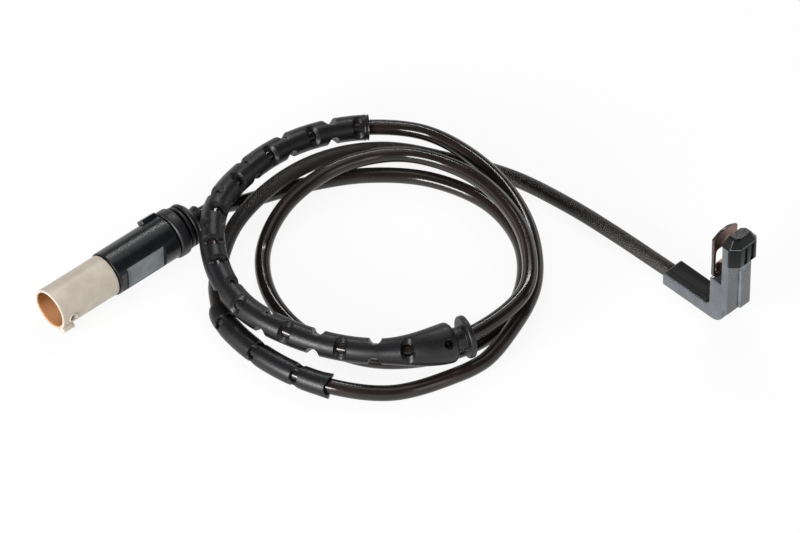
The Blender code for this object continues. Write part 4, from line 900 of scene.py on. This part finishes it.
def makeClip():
    # a plate with an arched top round a window, as a closed band from its outline to the window's edge
    c = clip
    arch = [(c["right"] - (c["left"] + c["right"]) * s, c["top"] + c["arch"] * math.sin(math.pi * s), 0)
            for s in np.linspace(0, 1, 25)]
    outer = roundCorners([
        (-c["foot"], c["footLow"], 0.3 * mm), (c["foot"], c["footLow"], 0.3 * mm), (c["foot"], c["base"], 0),
        (c["right"], c["base"] + c["right"] - c["foot"], 1.2 * mm), *arch,
        (-c["left"], c["base"] + c["left"] - c["foot"], 0.8 * mm), (-c["foot"], c["base"], 0)])
    closed = np.vstack([outer, outer[:1]])
    marks = np.concatenate([[0], np.cumsum(np.linalg.norm(np.diff(closed, axis=0), axis=1))])
    reading = np.unique(np.concatenate([marks[:-1], np.arange(0, marks[-1], 0.7 * mm)]))
    outer = np.stack([np.interp(reading, marks, closed[:, k]) for k in range(2)], -1)
    centre = np.array([0.0, (c["windowLow"] + c["windowTop"]) / 2])
    way = outer - centre
    way /= np.linalg.norm(way, axis=1, keepdims=True)
    tall = (c["windowTop"] - c["windowLow"]) / 2
    inner = centre + way / ((np.abs(way[:, :1]) / c["windowHalf"]) ** 8 + (np.abs(way[:, 1:]) / tall) ** 8) ** 0.125
    edge, half = c["edge"], c["thick"] / 2
    outwards = (outer - inner) / np.linalg.norm(outer - inner, axis=1, keepdims=True)
    # over the front face to the window and back over the rear face, with the edges cut off
    steps = [(outer, 0, half - edge), (outer, -edge, half), (inner, edge, half), (inner, 0, half - edge),
             (inner, 0, edge - half), (inner, edge, -half), (outer, -edge, -half), (outer, 0, edge - half)]
    band = np.stack([np.concatenate([np.full((len(outer), 1), c["out"] + level), anchor + inset * outwards], -1)
                     for anchor, inset, level in steps])
    slot = np.zeros(band.shape[:2], int)
    slot[[0, 6, 7]] = 1
    # the tongue: a strip from the window's foot that bows forward and back, narrower than the window
    reach, rise = c["tongueOut"] - c["out"], c["windowTop"] - c["windowLow"]
    spine = np.array([(0, -1.0 * mm, 0), *((out * reach, up * rise, 0) for out, up in c["tongue"])])
    line = readCurve(spine, 0.3 * mm)[0]
    ahead = np.gradient(line[:, :2], axis=0)
    ahead /= np.linalg.norm(ahead, axis=1, keepdims=True)
    normal = np.stack([ahead[:, 1], -ahead[:, 0]], -1)
    wide, thick = c["tongueHalf"], c["tongueThick"] / 2
    section = np.array([(-1, -0.5), (-0.9, -1), (0.9, -1), (1, -0.5), (1, 0.5), (0.9, 1), (-0.9, 1), (-1, 0.5)])
    flat = line[:, None, :2] + normal[:, None] * (section[None, :, 1:] * thick)
    strip = np.stack([c["out"] + flat[..., 0], section[None, :, 0] * wide + 0 * flat[..., 0],
                      c["windowLow"] + flat[..., 1]], -1)
    piece = makePiece("springClip", [dict(grid=inHead(band), along=True, slot=slot),
                                     dict(grid=inHead(strip), caps=True)])
    dress(piece, [bronze, shearedEdge])
    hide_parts("spring_clip")


makeHeadMoulding()
makeTower()
makeNose()
makeClip()
print("head made")


keptNodes = {
    "head_core_1": blackCore, "head_core_2": brownCore, "plug_core_1": blackCore, "plug_core_2": brownCore,
    "wear_loop": copperWire, "pin_terminal_1": tinnedPin, "pin_terminal_2": tinnedPin,
    "wire_seal": sealRubber, "terminal_holder": blackMoulding}
for nodeName, material in keptNodes.items():
    for place in nodes[nodeName].material_slots:
        place.material = material

onTheLead += [nodes[name] for name in ("terminal_holder", "wire_seal", "pin_terminal_1", "pin_terminal_2",
                                       "plug_core_1", "plug_core_2")]


studio = dict(
    diffuse=0.34, ceiling=0.03, horizon=1.0, floorColour="F2F2F2", paperWhite=0.9, floorHalf=3.0,
    lamps=[
        dict(name="strip", place=(-0.75, 0.75, 1.25), size=(0.95, 0.09), power=6.5),
        dict(name="top", place=(-0.25, 0.3, 1.6), size=(1.0, 1.0), power=3.0),
        dict(name="front", place=(0.0, -1.35, 0.42), size=(0.9, 0.4), power=28.0),
        dict(name="right", place=(1.15, -0.2, 0.6), size=(0.3, 0.8), power=1.5)])


def raysSeen(tree, kinds):
    # 1 for the rays named, so that the camera and reflections see white, and the light stays plain
    path = addNode(tree, "ShaderNodeLightPath")
    seen = path.outputs[kinds[0]]
    for kind in kinds[1:]:
        seen = addNode(tree, "ShaderNodeMath", {"operation": "MAXIMUM"}, {0: seen, 1: path.outputs[kind]})
    return seen


def makeStudio():
    scene = bpy.context.scene
    scene.view_settings.view_transform = "Standard"
    world = bpy.data.worlds.new("studio")
    scene.world = world
    world.use_nodes = True
    tree = world.node_tree
    tree.nodes.clear()
    seen = raysSeen(tree, ("Is Camera Ray", "Is Glossy Ray", "Is Transmission Ray"))
    # white near the horizon, as the paper behind, and a dark ceiling above it
    up = addNode(tree, "ShaderNodeSeparateXYZ", links={0: addNode(tree, "ShaderNodeTexCoord").outputs["Generated"]})
    rise = addNode(tree, "ShaderNodeMapRange", {1: 0.2, 2: 0.45, 3: studio["horizon"], 4: studio["ceiling"]},
                   {0: up.outputs[2]})
    level = addNode(tree, "ShaderNodeMix", {"data_type": "FLOAT", 2: studio["diffuse"]},
                    {0: seen, 3: rise})
    sky = addNode(tree, "ShaderNodeBackground", {0: (1, 1, 1, 1)}, {1: level})
    addNode(tree, "ShaderNodeOutputWorld", links={0: sky})
    mesh = bpy.data.meshes.new("floor")
    far = studio["floorHalf"]
    mesh.from_pydata([(-far, -far, 0), (far, -far, 0), (far, far, 0), (-far, far, 0)], [], [(0, 1, 2, 3)])
    floor = bpy.data.objects.new("floor", mesh)
    scene.collection.objects.link(floor)
    material = bpy.data.materials.new("white paper sweep")
    material.use_nodes = True
    tree = material.node_tree
    tree.nodes.clear()
    paper = addNode(tree, "ShaderNodeBsdfDiffuse", {0: hexColour(studio["floorColour"])})
    white = addNode(tree, "ShaderNodeEmission", {0: (1, 1, 1, 1), 1: 1.0})
    part = addNode(tree, "ShaderNodeMath", {"operation": "MULTIPLY", 1: studio["paperWhite"]},
                   {0: raysSeen(tree, ("Is Camera Ray", "Is Glossy Ray"))})
    both = addNode(tree, "ShaderNodeMixShader", links={0: part, 1: paper, 2: white})
    addNode(tree, "ShaderNodeOutputMaterial", links={0: both})
    mesh.materials.append(material)
    aim = Vector(camera["aim"])
    for lamp in studio["lamps"]:
        light = bpy.data.lights.new(lamp["name"], "AREA")
        light.shape, light.energy = "RECTANGLE", lamp["power"]
        light.size, light.size_y = lamp["size"]
        thing = bpy.data.objects.new(lamp["name"], light)
        thing.location = lamp["place"]
        thing.rotation_euler = (aim - thing.location).to_track_quat("-Z", "Y").to_euler()
        scene.collection.objects.link(thing)


makeStudio()
print("studio lit")
